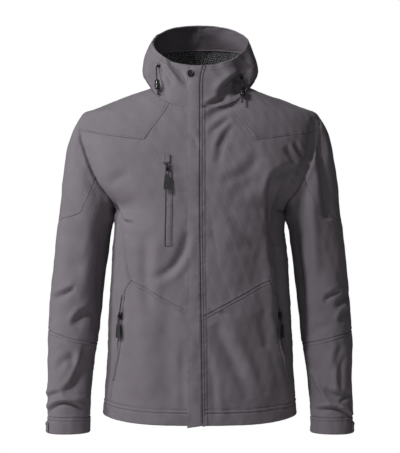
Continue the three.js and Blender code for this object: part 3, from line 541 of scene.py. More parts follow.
class Torso(Form):
    """The body. Its places are the turn from the centre front to the wearer's left, and the height."""

    near = (0.012, 1.5)

    def base(self, p: Array, q: Array) -> Array:
        power = 2 / TORSO.at("power", q)
        ahead = np.cos(p)
        depth = np.where(ahead > 0, TORSO.at("front", q), TORSO.at("back", q))
        x = TORSO.at("half", q) * signed_power(np.sin(p), power)
        return np.column_stack([x, -depth * signed_power(ahead, power), q])

    def relief(self, points: Array, p: Array, q: Array) -> Array:
        normals = mirrored(self.normals(p, q), points[:, 0] * np.sin(p) < 0)
        height = cloth_relief(points, normals, SHARED_FOLDS + BODY_FOLDS, BACK_FOLDS, 11)
        edge = np.where(np.cos(p) > 0, ARMHOLE.at("front", q), ARMHOLE.at("back", q))
        above = q > ARMHOLE.places[0]
        height *= np.where(above, smooth_step(edge - np.abs(points[:, 0]), 0, ARMHOLE_CALM), 1)
        middle, reach, bulge = UNDERARM
        return height + bulge * np.exp(-(((q - middle) / reach) ** 2)) * np.exp(-((np.cos(p) / 0.4) ** 2))

    def pressed(self, points: Array) -> Array:
        return armhole_press(points)

    def seen(self, places: Array) -> Array:
        if places[..., 0].max() > QUARTER + 1e-6:
            return places
        points = self.base(places[..., 0].ravel(), places[..., 1].ravel())
        return points[:, [0, 2]].reshape(places.shape)

    def settle(self, places: Array, seen: Array) -> Array:
        if places[..., 0].max() > QUARTER + 1e-6:
            return places
        x, z = seen[..., 0], seen[..., 1]
        share = 1 - smooth_step(np.abs(x) / TORSO.at("half", z), 0.72, 0.9)
        flat = np.stack([self.turn_at(x, z), z], axis=-1)
        return places + (flat - places) * share[..., None]

    def turn_at(self, x: Array, z: Array, front: bool = True) -> Array:
        """Find the turn of a place that is seen from the front or the back."""
        share = np.clip(np.abs(x) / TORSO.at("half", z), 0, 1) ** (TORSO.at("power", z) / 2)
        turn = np.arcsin(np.clip(share, 0, 1))
        turn = turn if front else math.pi - turn
        return np.where(np.asarray(x) < 0, -turn if front else 2 * math.pi - turn, turn)


def armhole_loop(angle: Array) -> Array:
    """Place points on the left armhole's seam, at angles from the shoulder's tip towards the front."""
    top = ARMHOLE.places[-1]
    bottom = ARMHOLE.places[0]
    z = (top + bottom) / 2 + (top - bottom) / 2 * np.cos(angle)
    front = np.sin(angle) >= 0
    x = np.where(front, ARMHOLE.at("front", z), ARMHOLE.at("back", z))
    power = TORSO.at("power", z)
    depth = np.where(front, -TORSO.at("front", z), TORSO.at("back", z))
    share = np.clip(x / TORSO.at("half", z), 0, 1)
    y = depth * (1 - share**power) ** (1 / power)
    return np.column_stack([x, np.where(np.abs(np.sin(angle)) < 1e-6, 0, y), z])


class SleeveForm(Form):
    """A sleeve. Its places are the angle from the shoulder's tip to the front, and the step down."""

    near = (0.012, 0.03)

    def frame(self, step: Array) -> tuple[Array, Array, Array, Array]:
        """Find each section's middle, half width towards the outer line, way down and depth."""
        middle = SLEEVE.at("middle", step)
        outer = np.column_stack([SLEEVE.at("outer_x", step), middle, SLEEVE.at("outer_z", step)])
        inner = np.column_stack([SLEEVE.at("inner_x", step), middle, SLEEVE.at("inner_z", step)])
        out = (outer - inner) / 2
        down = np.column_stack([out[:, 2], 0 * middle, -out[:, 0]])
        down /= np.linalg.norm(down, axis=1, keepdims=True)
        return (outer + inner) / 2, out, down, SLEEVE.at("depth", step)

    def base(self, p: Array, q: Array) -> Array:
        start_middle, start_out, start_down, _ = self.frame(np.zeros_like(q))
        middle, out, down, depth = self.frame(q)
        loop = armhole_loop(p) - start_middle
        keep = smooth_step(CAP_FADE - q, 0, CAP_FADE)
        shape = 2 / SLEEVE_POWER
        along = (loop * start_out).sum(1) / (start_out**2).sum(1)
        across = keep * along + (1 - keep) * signed_power(np.cos(p), shape)
        y = keep * loop[:, 1] - (1 - keep) * depth * signed_power(np.sin(p), shape)
        points = middle + out * across[:, None] + down * (keep * (loop * start_down).sum(1))[:, None]
        points[:, 1] += y
        return points

    def relief(self, points: Array, p: Array, q: Array) -> Array:
        normals = mirrored(self.normals(p, np.clip(q, 0.05, 15.95)), points[:, 0] < 0)
        height = cloth_relief(points, normals, SHARED_FOLDS + SLEEVE_FOLDS, BACK_SLEEVE_FOLDS, 11)
        middle, reach, bulge = UNDERARM
        inside = np.exp(-(((math.pi - np.abs(p)) / 0.9) ** 2))
        pleat = bulge * smooth_step(q, 0, 1) * np.exp(-(((points[:, 2] - middle) / reach) ** 2)) * inside
        return height * smooth_step(q, 0, 0.14) + pleat

    def pressed(self, points: Array) -> Array:
        return armhole_press(points)


def neck_seam(turn: Array) -> Array:
    """Place points on the neck seam, at a turn round the neck from the centre front."""
    ahead = np.cos(turn)
    side = HOOD.values["z_side"][0]
    end = np.where(ahead > 0, HOOD.values["z_front"][0], HOOD.values["z_back"][0])
    z = side + (end - side) * np.abs(ahead) ** NECK_DROP
    x = HOOD.values["half"][0] * signed_power(np.sin(turn), 0.95)
    power = TORSO.at("power", z)
    share = np.clip(np.abs(x) / TORSO.at("half", z), 0, 1)
    depth = np.where(ahead > 0, -TORSO.at("front", z), TORSO.at("back", z))
    return np.column_stack([x, depth * (1 - share**power) ** (1 / power), z])


class HoodForm(Form):
    """The collar and hood in one. Its places are the turn round the neck and the step up from its seam."""

    near = (0.012, 0.04)

    def ring(self, turn: Array, step: Array) -> Array:
        """Place points on a section of the collar and hood by itself."""
        ahead = np.cos(turn)
        front = ahead > 0
        shape = 2 / HOOD_POWER
        from_side = np.arctan2(np.abs(np.sin(turn)), ahead)
        drawn = 1 - HOOD.at("fold", step) / 100 * np.exp(-(((from_side - FOLD_TURN) / FOLD_SPREAD) ** 2))
        end = np.where(front, HOOD.at("z_front", step), HOOD.at("z_back", step))
        side = HOOD.at("z_side", step)
        depth = np.where(front, HOOD.at("front", step), HOOD.at("back", step))
        x = HOOD.at("half", step) * signed_power(np.sin(turn), shape) * drawn
        y = -depth * signed_power(ahead, shape) * drawn
        return np.column_stack([x, y, side + (end - side) * np.abs(ahead) ** NECK_DROP])

    def base(self, p: Array, q: Array) -> Array:
        keep = 1 - smooth_step(q, 0, NECK_FADE)
        joined = (neck_seam(p) - self.ring(p, np.zeros_like(q))) * keep[:, None]
        return self.ring(p, q) + joined

    def relief(self, points: Array, p: Array, q: Array) -> Array:
        normals = mirrored(self.normals(p, np.clip(q, 0.05, 6.95)), points[:, 0] * np.sin(p) < 0)
        return cloth_relief(points, normals, COLLAR_FOLDS, (), 23) * smooth_step(q, 0, 1.2)

    def turn_of(self, x: float | Array, step: Array, back: bool = False) -> Array:
        """Find the turn at which a section is a given distance from the middle, at the front or the back."""
        low = np.zeros_like(step)
        high = np.full_like(step, QUARTER)
        for _ in range(34):
            turn = (low + high) / 2
            reached = np.abs(self.base(math.pi - turn if back else turn, step)[:, 0]) > np.abs(x)
            high = np.where(reached, turn, high)
            low = np.where(reached, low, turn)
        return math.pi - low if back else low


class ClosureForm(Form):
    """The front's middle, body and collar in one. Its places are the distance across and the height."""

    near = (1.0, 1.5)
    seam = -44.0
    rise = 13.2

    def __init__(self) -> None:
        """Keep the forms that the closure runs over."""
        self.hood = HoodForm()

    def base(self, p: Array, q: Array) -> Array:
        z = np.minimum(q, self.seam)
        power = TORSO.at("power", z)
        share = np.clip(np.abs(p) / TORSO.at("half", z), 0, 1)
        body = np.column_stack([p, -TORSO.at("front", z) * (1 - share**power) ** (1 / power), z])
        step = np.clip((q - self.seam) / self.rise, 0, HOOD_STEPS)
        turn = self.hood.turn_of(p, step) * np.sign(p)
        collar = self.hood.base(turn, step)
        mix = smooth_step(q, self.seam - 1, self.seam + 5)[:, None]
        return body * (1 - mix) + collar * mix

    def relief(self, points: Array, p: Array, q: Array) -> Array:
        normals = np.tile([0.0, -1.0, 0.0], (len(points), 1))
        body = cloth_relief(points, normals, SHARED_FOLDS + BODY_FOLDS, (), 11)
        collar = cloth_relief(points, normals, COLLAR_FOLDS, (), 23)
        mix = smooth_step(q, self.seam - 6, self.seam + 14)
        return body * (1 - mix) + collar * mix


# Panels


# The distances of the rows of stitches from their edges, and where the fronts end beside the middle.
HEM_STITCHES = (25.5, 33.5)
FACED_STITCH = 7.6
SEAM_STITCH = 6.0
HOOD_STITCH = 12.0
FRONT_EDGES = {Side.LEFT: 6.5, Side.RIGHT: 7.0}


class Finish(Enum):
    """How a panel's edge is made: what it is, then the bumps of the cloth across it.

    Each bump is a height, its distance from the edge and its width, and how square it is.
    """

    HIDDEN = ("lies under another piece",)
    FLUSH = ("seamed and pressed flat", (-0.35, 0, 2.2, 2))
    SEAM = ("seamed", (0.3, 4, 2.5, 2), (-1.3, 0, 1.5, 2))
    TOPSTITCHED = ("seamed and topstitched", (0.35, 3, 1.8, 4), (-0.35, 6, 0.9, 2), (-1.2, 0, 1.3, 2))
    HEMMED = (
        "turned up and stitched twice",
        *((0.7, 0, 34, 8), (-0.9, 0, 1.1, 2)),
        *((-1.9, HEM_STITCHES[0], 1.4, 2), (-1.9, HEM_STITCHES[1], 1.4, 2)),
    )
    ROLLED = ("folded over", (0.3, 2.5, 1.8, 2), (-1.1, 0, 1.2, 2))
    FACED = ("folded over and topstitched beside a flap", (0.5, 4, 3, 4), (-0.6, FACED_STITCH, 1.3, 2))
    SEWN_DOWN = ("sewn down flat on another piece", (-2.1, 0, 13, 2), (-1.2, 2.6, 0.9, 2))

    def height(self, distance: Array) -> Array:
        """Measure how far the cloth stands out at a distance from the edge."""
        total = np.zeros_like(distance)
        for size, middle, width, square in self.value[1:]:
            total += size * np.exp(-(((distance - middle) / width) ** square))
        return total


def size_on(form: Form, p: Array, q: Array) -> float:
    """Measure a line of places on its form."""
    return float(run_of(form.base(p, q))[-1])


@dataclass(frozen=True)
class Edge:
    """One edge of a panel, as a line of places on its form.

    Attributes:
        line: The places, one row each.
        finish: How the edge is made.
    """

    line: Array
    finish: Finish = Finish.SEAM

    def sample(self, form: Form, shares: Array) -> Array:
        """Read places along the edge at even shares of its real length."""
        steps = [np.linspace(a, b, 9)[:-1] for a, b in zip(self.line[:-1], self.line[1:])]
        fine = np.vstack([*steps, self.line[-1:]])
        points = form.base(fine[:, 0], fine[:, 1])
        far = run_of(points)
        return read_at(shares * far[-1], far, fine)

    def length(self, form: Form) -> float:
        """Measure the edge on its form."""
        return size_on(form, *self.sample(form, np.linspace(0, 1, 200)).T)


EDGE_ROWS = (0.0, 0.7, 1.5, 2.6, 4.0, 5.2, 6.0, 6.8, 8.4)
HEM_ROWS = (0.0, 0.8, 1.8, 5, 10, 15, 20, 22.6, 24, 25, 26, 27, 28.4, 30.4, 32, 33, 34, 35, 37)
PLAIN_ROWS = (0.0, 1.2)
FACED_ROWS = (0.0, 1.2, 2.8, 4.4, 5.8, 6.8, 7.6, 8.4, 9.6)


def rows_between(length: float, spacing: float, start: Finish, end: Finish) -> Array:
    """Share out rows across a panel, close together beside its edges.

    Args:
        length: The panel's size across the rows.
        spacing: The distance between rows in its middle.
        start: How its first edge is made.
        end: How its last edge is made.

    Returns:
        The rows' shares of the length.
    """
    tables = {Finish.HIDDEN: PLAIN_ROWS, Finish.HEMMED: HEM_ROWS, Finish.FACED: FACED_ROWS}
    first = [row for row in tables.get(start, EDGE_ROWS) if row < 0.45 * length]
    last = [length - row for row in tables.get(end, EDGE_ROWS) if row < 0.45 * length][::-1]
    count = max(2, round((last[0] - first[-1]) / spacing) + 1)
    middle = np.linspace(first[-1], last[0], count)[1:-1]
    return np.array([*first, *middle, *last]) / length


@dataclass
class Patch:
    """A panel's grid of places on its form, its points and the height of its edges.

    Attributes:
        form: Its form.
        places: The grid's places: rows, columns, and the two coordinates.
        side: The wearer's side.
        edges: The bottom, right, top and left edges' finishes.
        lift: How far it stands off its form.
    """

    form: Form
    places: Array
    side: Side = Side.LEFT
    edges: tuple[Finish, ...] = (Finish.SEAM,) * 4
    lift: float = 0.0
    made: Array | None = field(init=False, default=None)
    flat: Array = field(init=False)
    across: Array = field(init=False)
    along: Array = field(init=False)

    def __post_init__(self) -> None:
        """Measure the grid on the bare form."""
        rows, columns, _ = self.places.shape
        self.flat = self.form.base(*self.places.reshape(-1, 2).T).reshape(rows, columns, 3)
        self.across = run_of(self.flat, 1)
        self.along = run_of(self.flat)

    def points(self) -> Array:
        """Place the grid's points on the cloth. They are worked out once."""
        if self.made is not None:
            return self.made
        rows, columns, _ = self.places.shape
        bottom, right, top, left = self.edges
        height = bottom.height(self.along) + top.height(self.along[-1:] - self.along)
        height += left.height(self.across) + right.height(self.across[:, -1:] - self.across)
        height = np.maximum(height, -2.4)
        from_side = np.minimum(self.across, self.across[:, -1:] - self.across)
        near = np.minimum(np.minimum(self.along, self.along[-1:] - self.along), from_side)
        if any(edge is not Finish.HIDDEN for edge in self.edges):
            x, y, z = self.flat.reshape(-1, 3).T
            ripple = waves(x + 0.7 * y, z, 5, 15.0).reshape(rows, columns)
            height += 0.4 * ripple * np.exp(-(((near - 4) / 6) ** 2))
        p, q = self.places.reshape(-1, 2).T
        self.made = self.form.point(p, q, (height + self.lift).ravel(), self.side).reshape(rows, columns, 3)
        return self.made

    def outward(self) -> Array:
        """Find the outward direction at each of the grid's points, not of length 1."""
        points = self.points()
        return np.cross(np.gradient(points, axis=1), np.gradient(points, axis=0)) * self.side.value

    def cut(self) -> tuple[float, float, float]:
        """Measure the cloth that the panel was cut from: its width, length and area, in metres."""
        right, up = np.diff(self.flat, axis=1), np.diff(self.flat, axis=0)
        lower = np.linalg.norm(np.cross(right[:-1], up[:, :-1]), axis=2)
        upper = np.linalg.norm(np.cross(right[1:], up[:, 1:]), axis=2)
        area = float((lower + upper).sum() / 2)
        width = float(self.across[:, -1].max())
        length = float(self.along[-1].max())
        return width * MM, length * MM, min(area, width * length) * MM * MM


def patch_between(form: Form, edges: tuple[Edge, ...], spacing: float, side: Side = Side.LEFT) -> Patch:
    """Fill four edges with a smooth grid of places.

    Args:
        form: Its form.
        edges: The bottom and right edges, then the top and left ones. They run to the right and upwards.
        spacing: The distance between rows in its middle.
        side: The wearer's side.

    Returns:
        The panel.
    """
    bottom, right, top, left = edges
    width = max(bottom.length(form), top.length(form))
    height = max(left.length(form), right.length(form))
    u = rows_between(width, spacing, left.finish, right.finish)
    v = rows_between(height, spacing, bottom.finish, top.finish)
    lines = (
        bottom.sample(form, u)[None],
        top.sample(form, u)[None],
        left.sample(form, v)[:, None],
        right.sample(form, v)[:, None],
    )
    s = u[None, :, None]
    k = v[:, None, None]
    blended = []
    for b, t, le, r in (lines, tuple(form.seen(line) for line in lines)):
        low = (1 - s) * b[:, :1] + s * b[:, -1:]
        high = (1 - s) * t[:, :1] + s * t[:, -1:]
        blended.append((1 - k) * (b - low) + k * (t - high) + (1 - s) * le + s * r)
    return Patch(form, form.settle(*blended), side, tuple(edge.finish for edge in edges))


def new_object(name: str, mesh: Mesh) -> Piece:
    """Put a mesh in the scene as a piece."""
    piece = bpy.data.objects.new(name, mesh)
    bpy.context.scene.collection.objects.link(piece)
    return piece


def shape_mesh(shape: Shape, name: str, sharp: float | None = None) -> Mesh:
    """Turn a shape into a mesh, smooth but for edges sharper than an angle in degrees, if that is given."""
    mesh = bpy.data.meshes.new(name)
    shape.to_mesh(mesh)
    shape.free()
    if sharp is not None:
        mesh.polygons.foreach_set("use_smooth", np.ones(len(mesh.polygons), bool))
        mesh.set_sharp_from_angle(angle=math.radians(sharp))
    return mesh


def bevel(shape: Shape, edges: list[bmesh.types.BMEdge], width: float, segments: int) -> None:
    """Round edges of a shape by a width in millimetres."""
    bmesh.ops.bevel(
        shape,
        geom=edges,
        offset=width * MM,
        offset_type="OFFSET",
        segments=segments,
        profile=0.5,
        affect="EDGES",
        clamp_overlap=True,
        material=-1,
    )


def block(size: tuple[float, float, float]) -> Shape:
    """Make a box round its own middle from its size in millimetres."""
    shape = bmesh.new()
    scale = Matrix.Diagonal((size[0] * MM, size[1] * MM, size[2] * MM, 1))
    bmesh.ops.create_cube(shape, size=1.0, matrix=scale, calc_uvs=True)
    return shape


def grid_mesh(name: str, points: Array, sizes: tuple[Array, Array]) -> Mesh:
    """Make a mesh of a grid of points, with a UV map in metres.

    Args:
        name: The mesh's name.
        points: Rows and columns of points.
        sizes: How far along its row and column each is.

    Returns:
        The mesh.
    """
    rows, columns, _ = points.shape
    shape = bmesh.new()
    bmesh.ops.create_grid(shape, x_segments=columns - 1, y_segments=rows - 1, size=0.5)
    mesh = shape_mesh(shape, name)
    spots = np.empty(len(mesh.vertices) * 3)
    mesh.vertices.foreach_get("co", spots)
    spots = spots.reshape(-1, 3)
    column = np.rint((spots[:, 0] + 0.5) * (columns - 1)).astype(int)
    row = np.rint((spots[:, 1] + 0.5) * (rows - 1)).astype(int)
    mesh.vertices.foreach_set("co", (points[row, column] * MM).ravel())
    loops = np.empty(len(mesh.loops), int)
    mesh.loops.foreach_get("vertex_index", loops)
    uv = np.column_stack([sizes[0][row, column], sizes[1][row, column]]) * MM
    layer = mesh.uv_layers.new(name="cut")
    layer.data.foreach_set("uv", uv[loops].ravel())
    mesh.polygons.foreach_set("use_smooth", np.ones(len(mesh.polygons), bool))
    mesh.update()
    return mesh


def tidy(mesh: Mesh, distance: float = 0.02) -> None:
    """Merge the points of a mesh that lie within a distance of each other."""
    shape = bmesh.new()
    shape.from_mesh(mesh)
    bmesh.ops.remove_doubles(shape, verts=shape.verts[:], dist=distance * MM)
    bmesh.ops.dissolve_degenerate(shape, edges=shape.edges[:], dist=distance * MM / 4)
    shape.to_mesh(mesh)
    shape.free()


def repeated(name: str, one: Mesh, places: list[Matrix]) -> Mesh:
    """Make one mesh of copies of a small shape, which is removed, at many places."""
    shape = bmesh.new()
    for _ in places:
        shape.from_mesh(one)
    mesh = shape_mesh(shape, name)
    corners = np.array([(*vertex.co, 1.0) for vertex in one.vertices])
    moved = np.array([np.array(place) for place in places]) @ corners.T
    mesh.vertices.foreach_set("co", np.swapaxes(moved, 1, 2)[..., :3].ravel())
    mesh.update()
    bpy.data.meshes.remove(one)
    return mesh


# Finishes


def linear(code: str) -> tuple[float, float, float, float]:
    """Turn an sRGB hex colour into Blender's linear one."""
    shares = [int(code[i : i + 2], 16) / 255 for i in (1, 3, 5)]
    return (*[c / 12.92 if c <= 0.04045 else ((c + 0.055) / 1.055) ** 2.4 for c in shares], 1.0)


def add_node(
    tree: Tree, kind: str, inputs: dict | None = None, output: int | str = 0, **settings: object
) -> Socket | None:
    """Add a shader node with its settings, values and links.

    Args:
        tree: The tree to add it to.
        kind: The node's type, without the word ShaderNode.
        inputs: A value or a socket to link for each input.
        output: The output to give back.
        settings: The node's own settings.

    Returns:
        The output's socket, if the node has one.
    """
    node = tree.nodes.new("ShaderNode" + kind)
    for name, value in settings.items():
        setattr(node, name, value)
    for name, value in (inputs or {}).items():
        if isinstance(value, Socket):
            tree.links.new(value, node.inputs[name])
        else:
            node.inputs[name].default_value = value
    return node.outputs[output] if node.outputs else None


@dataclass(frozen=True)
class Surface:
    """What every finish has: its name, its shader's values and its base colour.

    Attributes:
        name: The material's common name.
        colour: The sRGB colour.
        roughness: How rough it is.
        metallic: 1 for a metal.
        sheen: The strength of the fuzz that catches light at the edges.
        specular: How strongly it reflects, against 0.5 for a smooth plastic.
    """

    name: str
    colour: str
    roughness: float
    metallic: float = 0.0
    sheen: float = 0.0
    specular: float = 0.5

    def start(self) -> tuple[bpy.types.Material, Tree, bpy.types.Node]:
        """Make the material with its shader."""
        material = bpy.data.materials.new(self.name)
        material.use_nodes = True
        tree = material.node_tree
        shader = tree.nodes["Principled BSDF"]
        values = {
            "Base Color": linear(self.colour),
            "Roughness": self.roughness,
            "Metallic": self.metallic,
            "Sheen Weight": self.sheen,
            "Sheen Roughness": 0.5,
            "Specular IOR Level": self.specular,
        }
        for name, value in values.items():
            shader.inputs[name].default_value = value
        return material, tree, shader

    def paint(
        self,
        tree: Tree,
        share: Socket,
        colours: tuple[str, str],
        height: Socket,
        bump: tuple[float, float],
    ) -> None:
        """Mix two colours and raise a relief.

        Args:
            tree: The material's tree.
            share: The second colour's share.
            colours: The two sRGB colours.
            height: The relief's height, from 0 to 1.
            bump: The relief's strength and its real height.
        """
        shader = tree.nodes["Principled BSDF"]
        values = {"Factor": share, "A": linear(colours[0]), "B": linear(colours[1])}
        mix = add_node(tree, "Mix", values, "Result", data_type="RGBA")
        tree.links.new(mix, shader.inputs["Base Color"])
        values = {"Height": height, "Strength": bump[0], "Distance": bump[1] * MM}
        tree.links.new(add_node(tree, "Bump", values), shader.inputs["Normal"])


@dataclass(frozen=True)
class WovenCloth(Surface):
    """A cloth whose threads cross along its own cut.

    Attributes:
        dark: The sRGB colour between the threads.
        pitch: The distance between threads.
        relief: How high the threads stand.
        mottle: How strongly the colour varies.
    """

    dark: str = "#58545a"
    pitch: float = 1.3
    relief: float = 0.05
    mottle: float = 0.5

    def material(self) -> bpy.types.Material:
        """Make the material."""
        material, tree, _ = self.start()
        cut = add_node(tree, "UVMap", output="UV", uv_map="cut")
        place = add_node(tree, "TexCoord", output="Object")
        scale = 0.314 / (self.pitch * MM) / 2
        values = {"Vector": cut, "Scale": scale, "Distortion": 1.2, "Detail": 2.0}
        warp, weft = (add_node(tree, "TexWave", values, "Fac", bands_direction=way) for way in "XY")
        weave = add_node(tree, "Math", {0: warp, 1: weft}, operation="MULTIPLY")
        fibre = add_node(tree, "TexNoise", {"Vector": place, "Scale": 900.0, "Detail": 3.0}, "Fac")
        values = {"Vector": place, "Scale": 16.0, "Detail": 4.0, "Roughness": 0.6}
        cloud = add_node(tree, "TexNoise", values, "Fac")
        fuzz = add_node(tree, "Math", {0: fibre, 1: cloud}, operation="ADD")
        values = {"Value": fuzz, "From Min": 0.7, "From Max": 1.3, "To Max": self.mottle}
        spread = add_node(tree, "MapRange", values)
        depth = add_node(tree, "Math", {0: weave, 1: 0.25}, operation="MULTIPLY")
        share = add_node(tree, "Math", {0: spread, 1: depth}, operation="ADD")
        height = add_node(tree, "Math", {0: weave, 1: fibre}, operation="ADD")
        self.paint(tree, share, (self.colour, self.dark), height, (0.55, self.relief))
        return material


@dataclass(frozen=True)
class Grained(Surface):
    """A moulded, cast or painted surface with a fine grain.

    Attributes:
        grain: The size of the grain.
        relief: How high the grain stands.
        worn: The sRGB colour of the spots that handling has polished.
        coat: The strength of a clear coat.
    """

    grain: float = 0.5
    relief: float = 0.02
    worn: str = "#3a393c"
    coat: float = 0.0

    def material(self) -> bpy.types.Material:
        """Make the material."""
        material, tree, shader = self.start()
        shader.inputs["Coat Weight"].default_value = self.coat
        place = add_node(tree, "TexCoord", output="Object")
        values = {"Vector": place, "Scale": 1 / (self.grain * MM), "Detail": 3.0}
        grain = add_node(tree, "TexNoise", values, "Fac")
        wear = add_node(tree, "TexNoise", {"Vector": place, "Scale": 180.0, "Detail": 5.0}, "Fac")
        share = add_node(tree, "MapRange", {"Value": wear, "From Min": 0.45, "From Max": 0.75, "To Max": 0.6})
        values = {"Value": grain, "To Min": self.roughness - 0.08, "To Max": self.roughness + 0.1}
        tree.links.new(add_node(tree, "MapRange", values), shader.inputs["Roughness"])
        self.paint(tree, share, (self.colour, self.worn), grain, (0.6, self.relief))
        return material


@dataclass(frozen=True)
class OpenMesh(Surface):
    """A knitted mesh with holes in a staggered grid.

    Attributes:
        hole: The sRGB colour painted in its holes, painted shade of the hollow behind them.
        pitch: The distance between holes.
    """

    hole: str = "#030303"
    pitch: float = 4.4

    def material(self) -> bpy.types.Material:
        """Make the material."""
        material, tree, _ = self.start()
        cut = add_node(tree, "UVMap", output="UV", uv_map="cut")
        values = {"Vector": cut, "Scale": 1 / (self.pitch * MM), "Randomness": 0.25}
        cells = add_node(tree, "TexVoronoi", values, "Distance")
        edge = add_node(tree, "MapRange", {"Value": cells, "From Min": 0.4, "From Max": 0.56})
        # Painted shade: the holes get the hole colour, for the shaded hollow behind the mesh.
        self.paint(tree, edge, (self.hole, self.colour), edge, (0.8, 0.6))
        return material


# Bonded polyester softshell: a tight plain weave, dyed mid grey and brushed, so it is matt with hardly any
# sheen. Its threads are 0.4 mm apart, but drawn 1.3 mm apart, to show.
BRUSHED = {"sheen": 0.03, "specular": 0.2}
SOFTSHELL = WovenCloth("bonded polyester softshell", "#7c767d", 0.86, **BRUSHED, dark="#655f66")
# Folded softshell under the flap and at the piping, a little darker where it is pressed.
PRESSED = WovenCloth("pressed softshell edge", "#77717a", 0.8, **BRUSHED, dark="#5f5a62")
# The hood's facing is cut from the same cloth, a little darker for want of light on its nap.
FACING = WovenCloth("softshell facing", "#767077", 0.88, **BRUSHED, dark="#615b63", pitch=1.6)
# Polyester mesh: a black warp knit whose 1 mm holes are drawn 4.4 mm apart, to show. Its threads are painted
# light grey, painted light for the dim inside of the hood, and its holes near black, painted shade of the
# hollow behind them.
MESH = OpenMesh("knitted polyester mesh", "#8d8b90", 0.9, sheen=0.1)
# Polyester zip tape: a dense black herringbone with a slight gloss.
TAPE = WovenCloth("woven polyester zip tape", "#38353a", 0.6, 0, 0.1, dark="#242226", pitch=0.9, relief=0.08)
# Coiled nylon monofilament, which is smooth and shines.
COIL = Grained("nylon zip coil", "#2b292d", 0.35, grain=0.3, relief=0.01)
# Polyester sewing thread: dyed to the cloth, with a slight gloss. Its colour is painted darker than the
# cloth's, painted shade of the stitch rows.
THREAD = WovenCloth("polyester sewing thread", "#6b656d", 0.6, 0, 0.1, dark="#4b474d", pitch=0.3, relief=0.02)
# Elastic cord: a black braided polyester cover over rubber.
ELASTIC = Grained("braided elastic cord", "#1a191b", 0.62, sheen=0.1, grain=0.7, relief=0.18, worn="#343336")
# Zinc die casting under black paint, whose edges shine.
PAINTED = {"metallic": 0.35, "coat": 0.3}
PAINTED_ZINC = Grained("black painted zinc casting", "#1c1b1d", 0.34, **PAINTED, grain=0.25, relief=0.006)
# Moulded thermoplastic rubber with a fine spark-eroded grain.
RUBBER = Grained("moulded thermoplastic rubber", "#201f21", 0.52, grain=0.35, relief=0.03)
# Moulded acetal for the cord locks: black, smooth and slightly translucent at its edges, so it glints.
ACETAL = Grained("moulded acetal", "#1b1a1c", 0.24, grain=0.6, relief=0.004, coat=0.4, worn="#2c2b2d")
# Painted plaster for the floor.
PLASTER = Grained("pale painted plaster", "#f1f0ee", 0.9, grain=2.0, relief=0.1, worn="#ecebe8")


Finishes = WovenCloth | Grained | OpenMesh


class Dress:
    """Makes each finish once and puts it on pieces."""

    def __init__(self) -> None:
        """Start with no materials."""
        self.made: dict[str, bpy.types.Material] = {}

    def of(self, finish: Finishes) -> bpy.types.Material:
        """Get a finish's material."""
        if finish.name not in self.made:
            self.made[finish.name] = finish.material()
        return self.made[finish.name]

    def put(
        self, piece: Piece, finish: Finishes, body: str = ROOT, node: str | None = None
    ) -> None:
        """Dress a new piece, attach it to its body and hide the CAD node that it replaces.

        Args:
            piece: The piece.
            finish: Its finish.
            body: The body that it moves with.
            node: The CAD node that it replaces, if it does.
        """
        piece.data.materials.clear()
        piece.data.materials.append(self.of(finish))
        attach(piece, body)
        if node:
            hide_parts(node)


DRESS = Dress()
CLOTH = 2.0
THIN_CLOTH = 1.2
TAPE_THICK = 0.8
WELT_THICK = 1.5


def cloth_piece(
    patch: Patch,
    node: str,
    finish: WovenCloth | OpenMesh = SOFTSHELL,
    thick: float = CLOTH,
) -> Piece:
    """Make a panel of cloth in the place of its CAD node.

    Args:
        patch: The panel.
        node: The node, which also names it.
        finish: The cloth.
        thick: The cloth's thickness.

    Returns:
        The piece.
    """
    points = patch.points()
    sizes = (patch.across, patch.along)
    if patch.side is Side.RIGHT:
        points = points[:, ::-1]
        sizes = (sizes[0][:, ::-1], sizes[1][:, ::-1])
    name = f"{node}_cloth"
    mesh = grid_mesh(name, points, sizes)
    tidy(mesh)
    piece = new_object(name, mesh)
    wall = piece.modifiers.new("wall", "SOLIDIFY")
    wall.thickness = thick * MM
    wall.offset = -1
    DRESS.put(piece, finish, node=node)
    width, length, area = patch.cut()
    width, length = round(width, 4), round(length, 4)
    log.info("%s: %d points, cut %.0f x %.0f mm", name, len(mesh.vertices), width / MM, length / MM)
    return piece


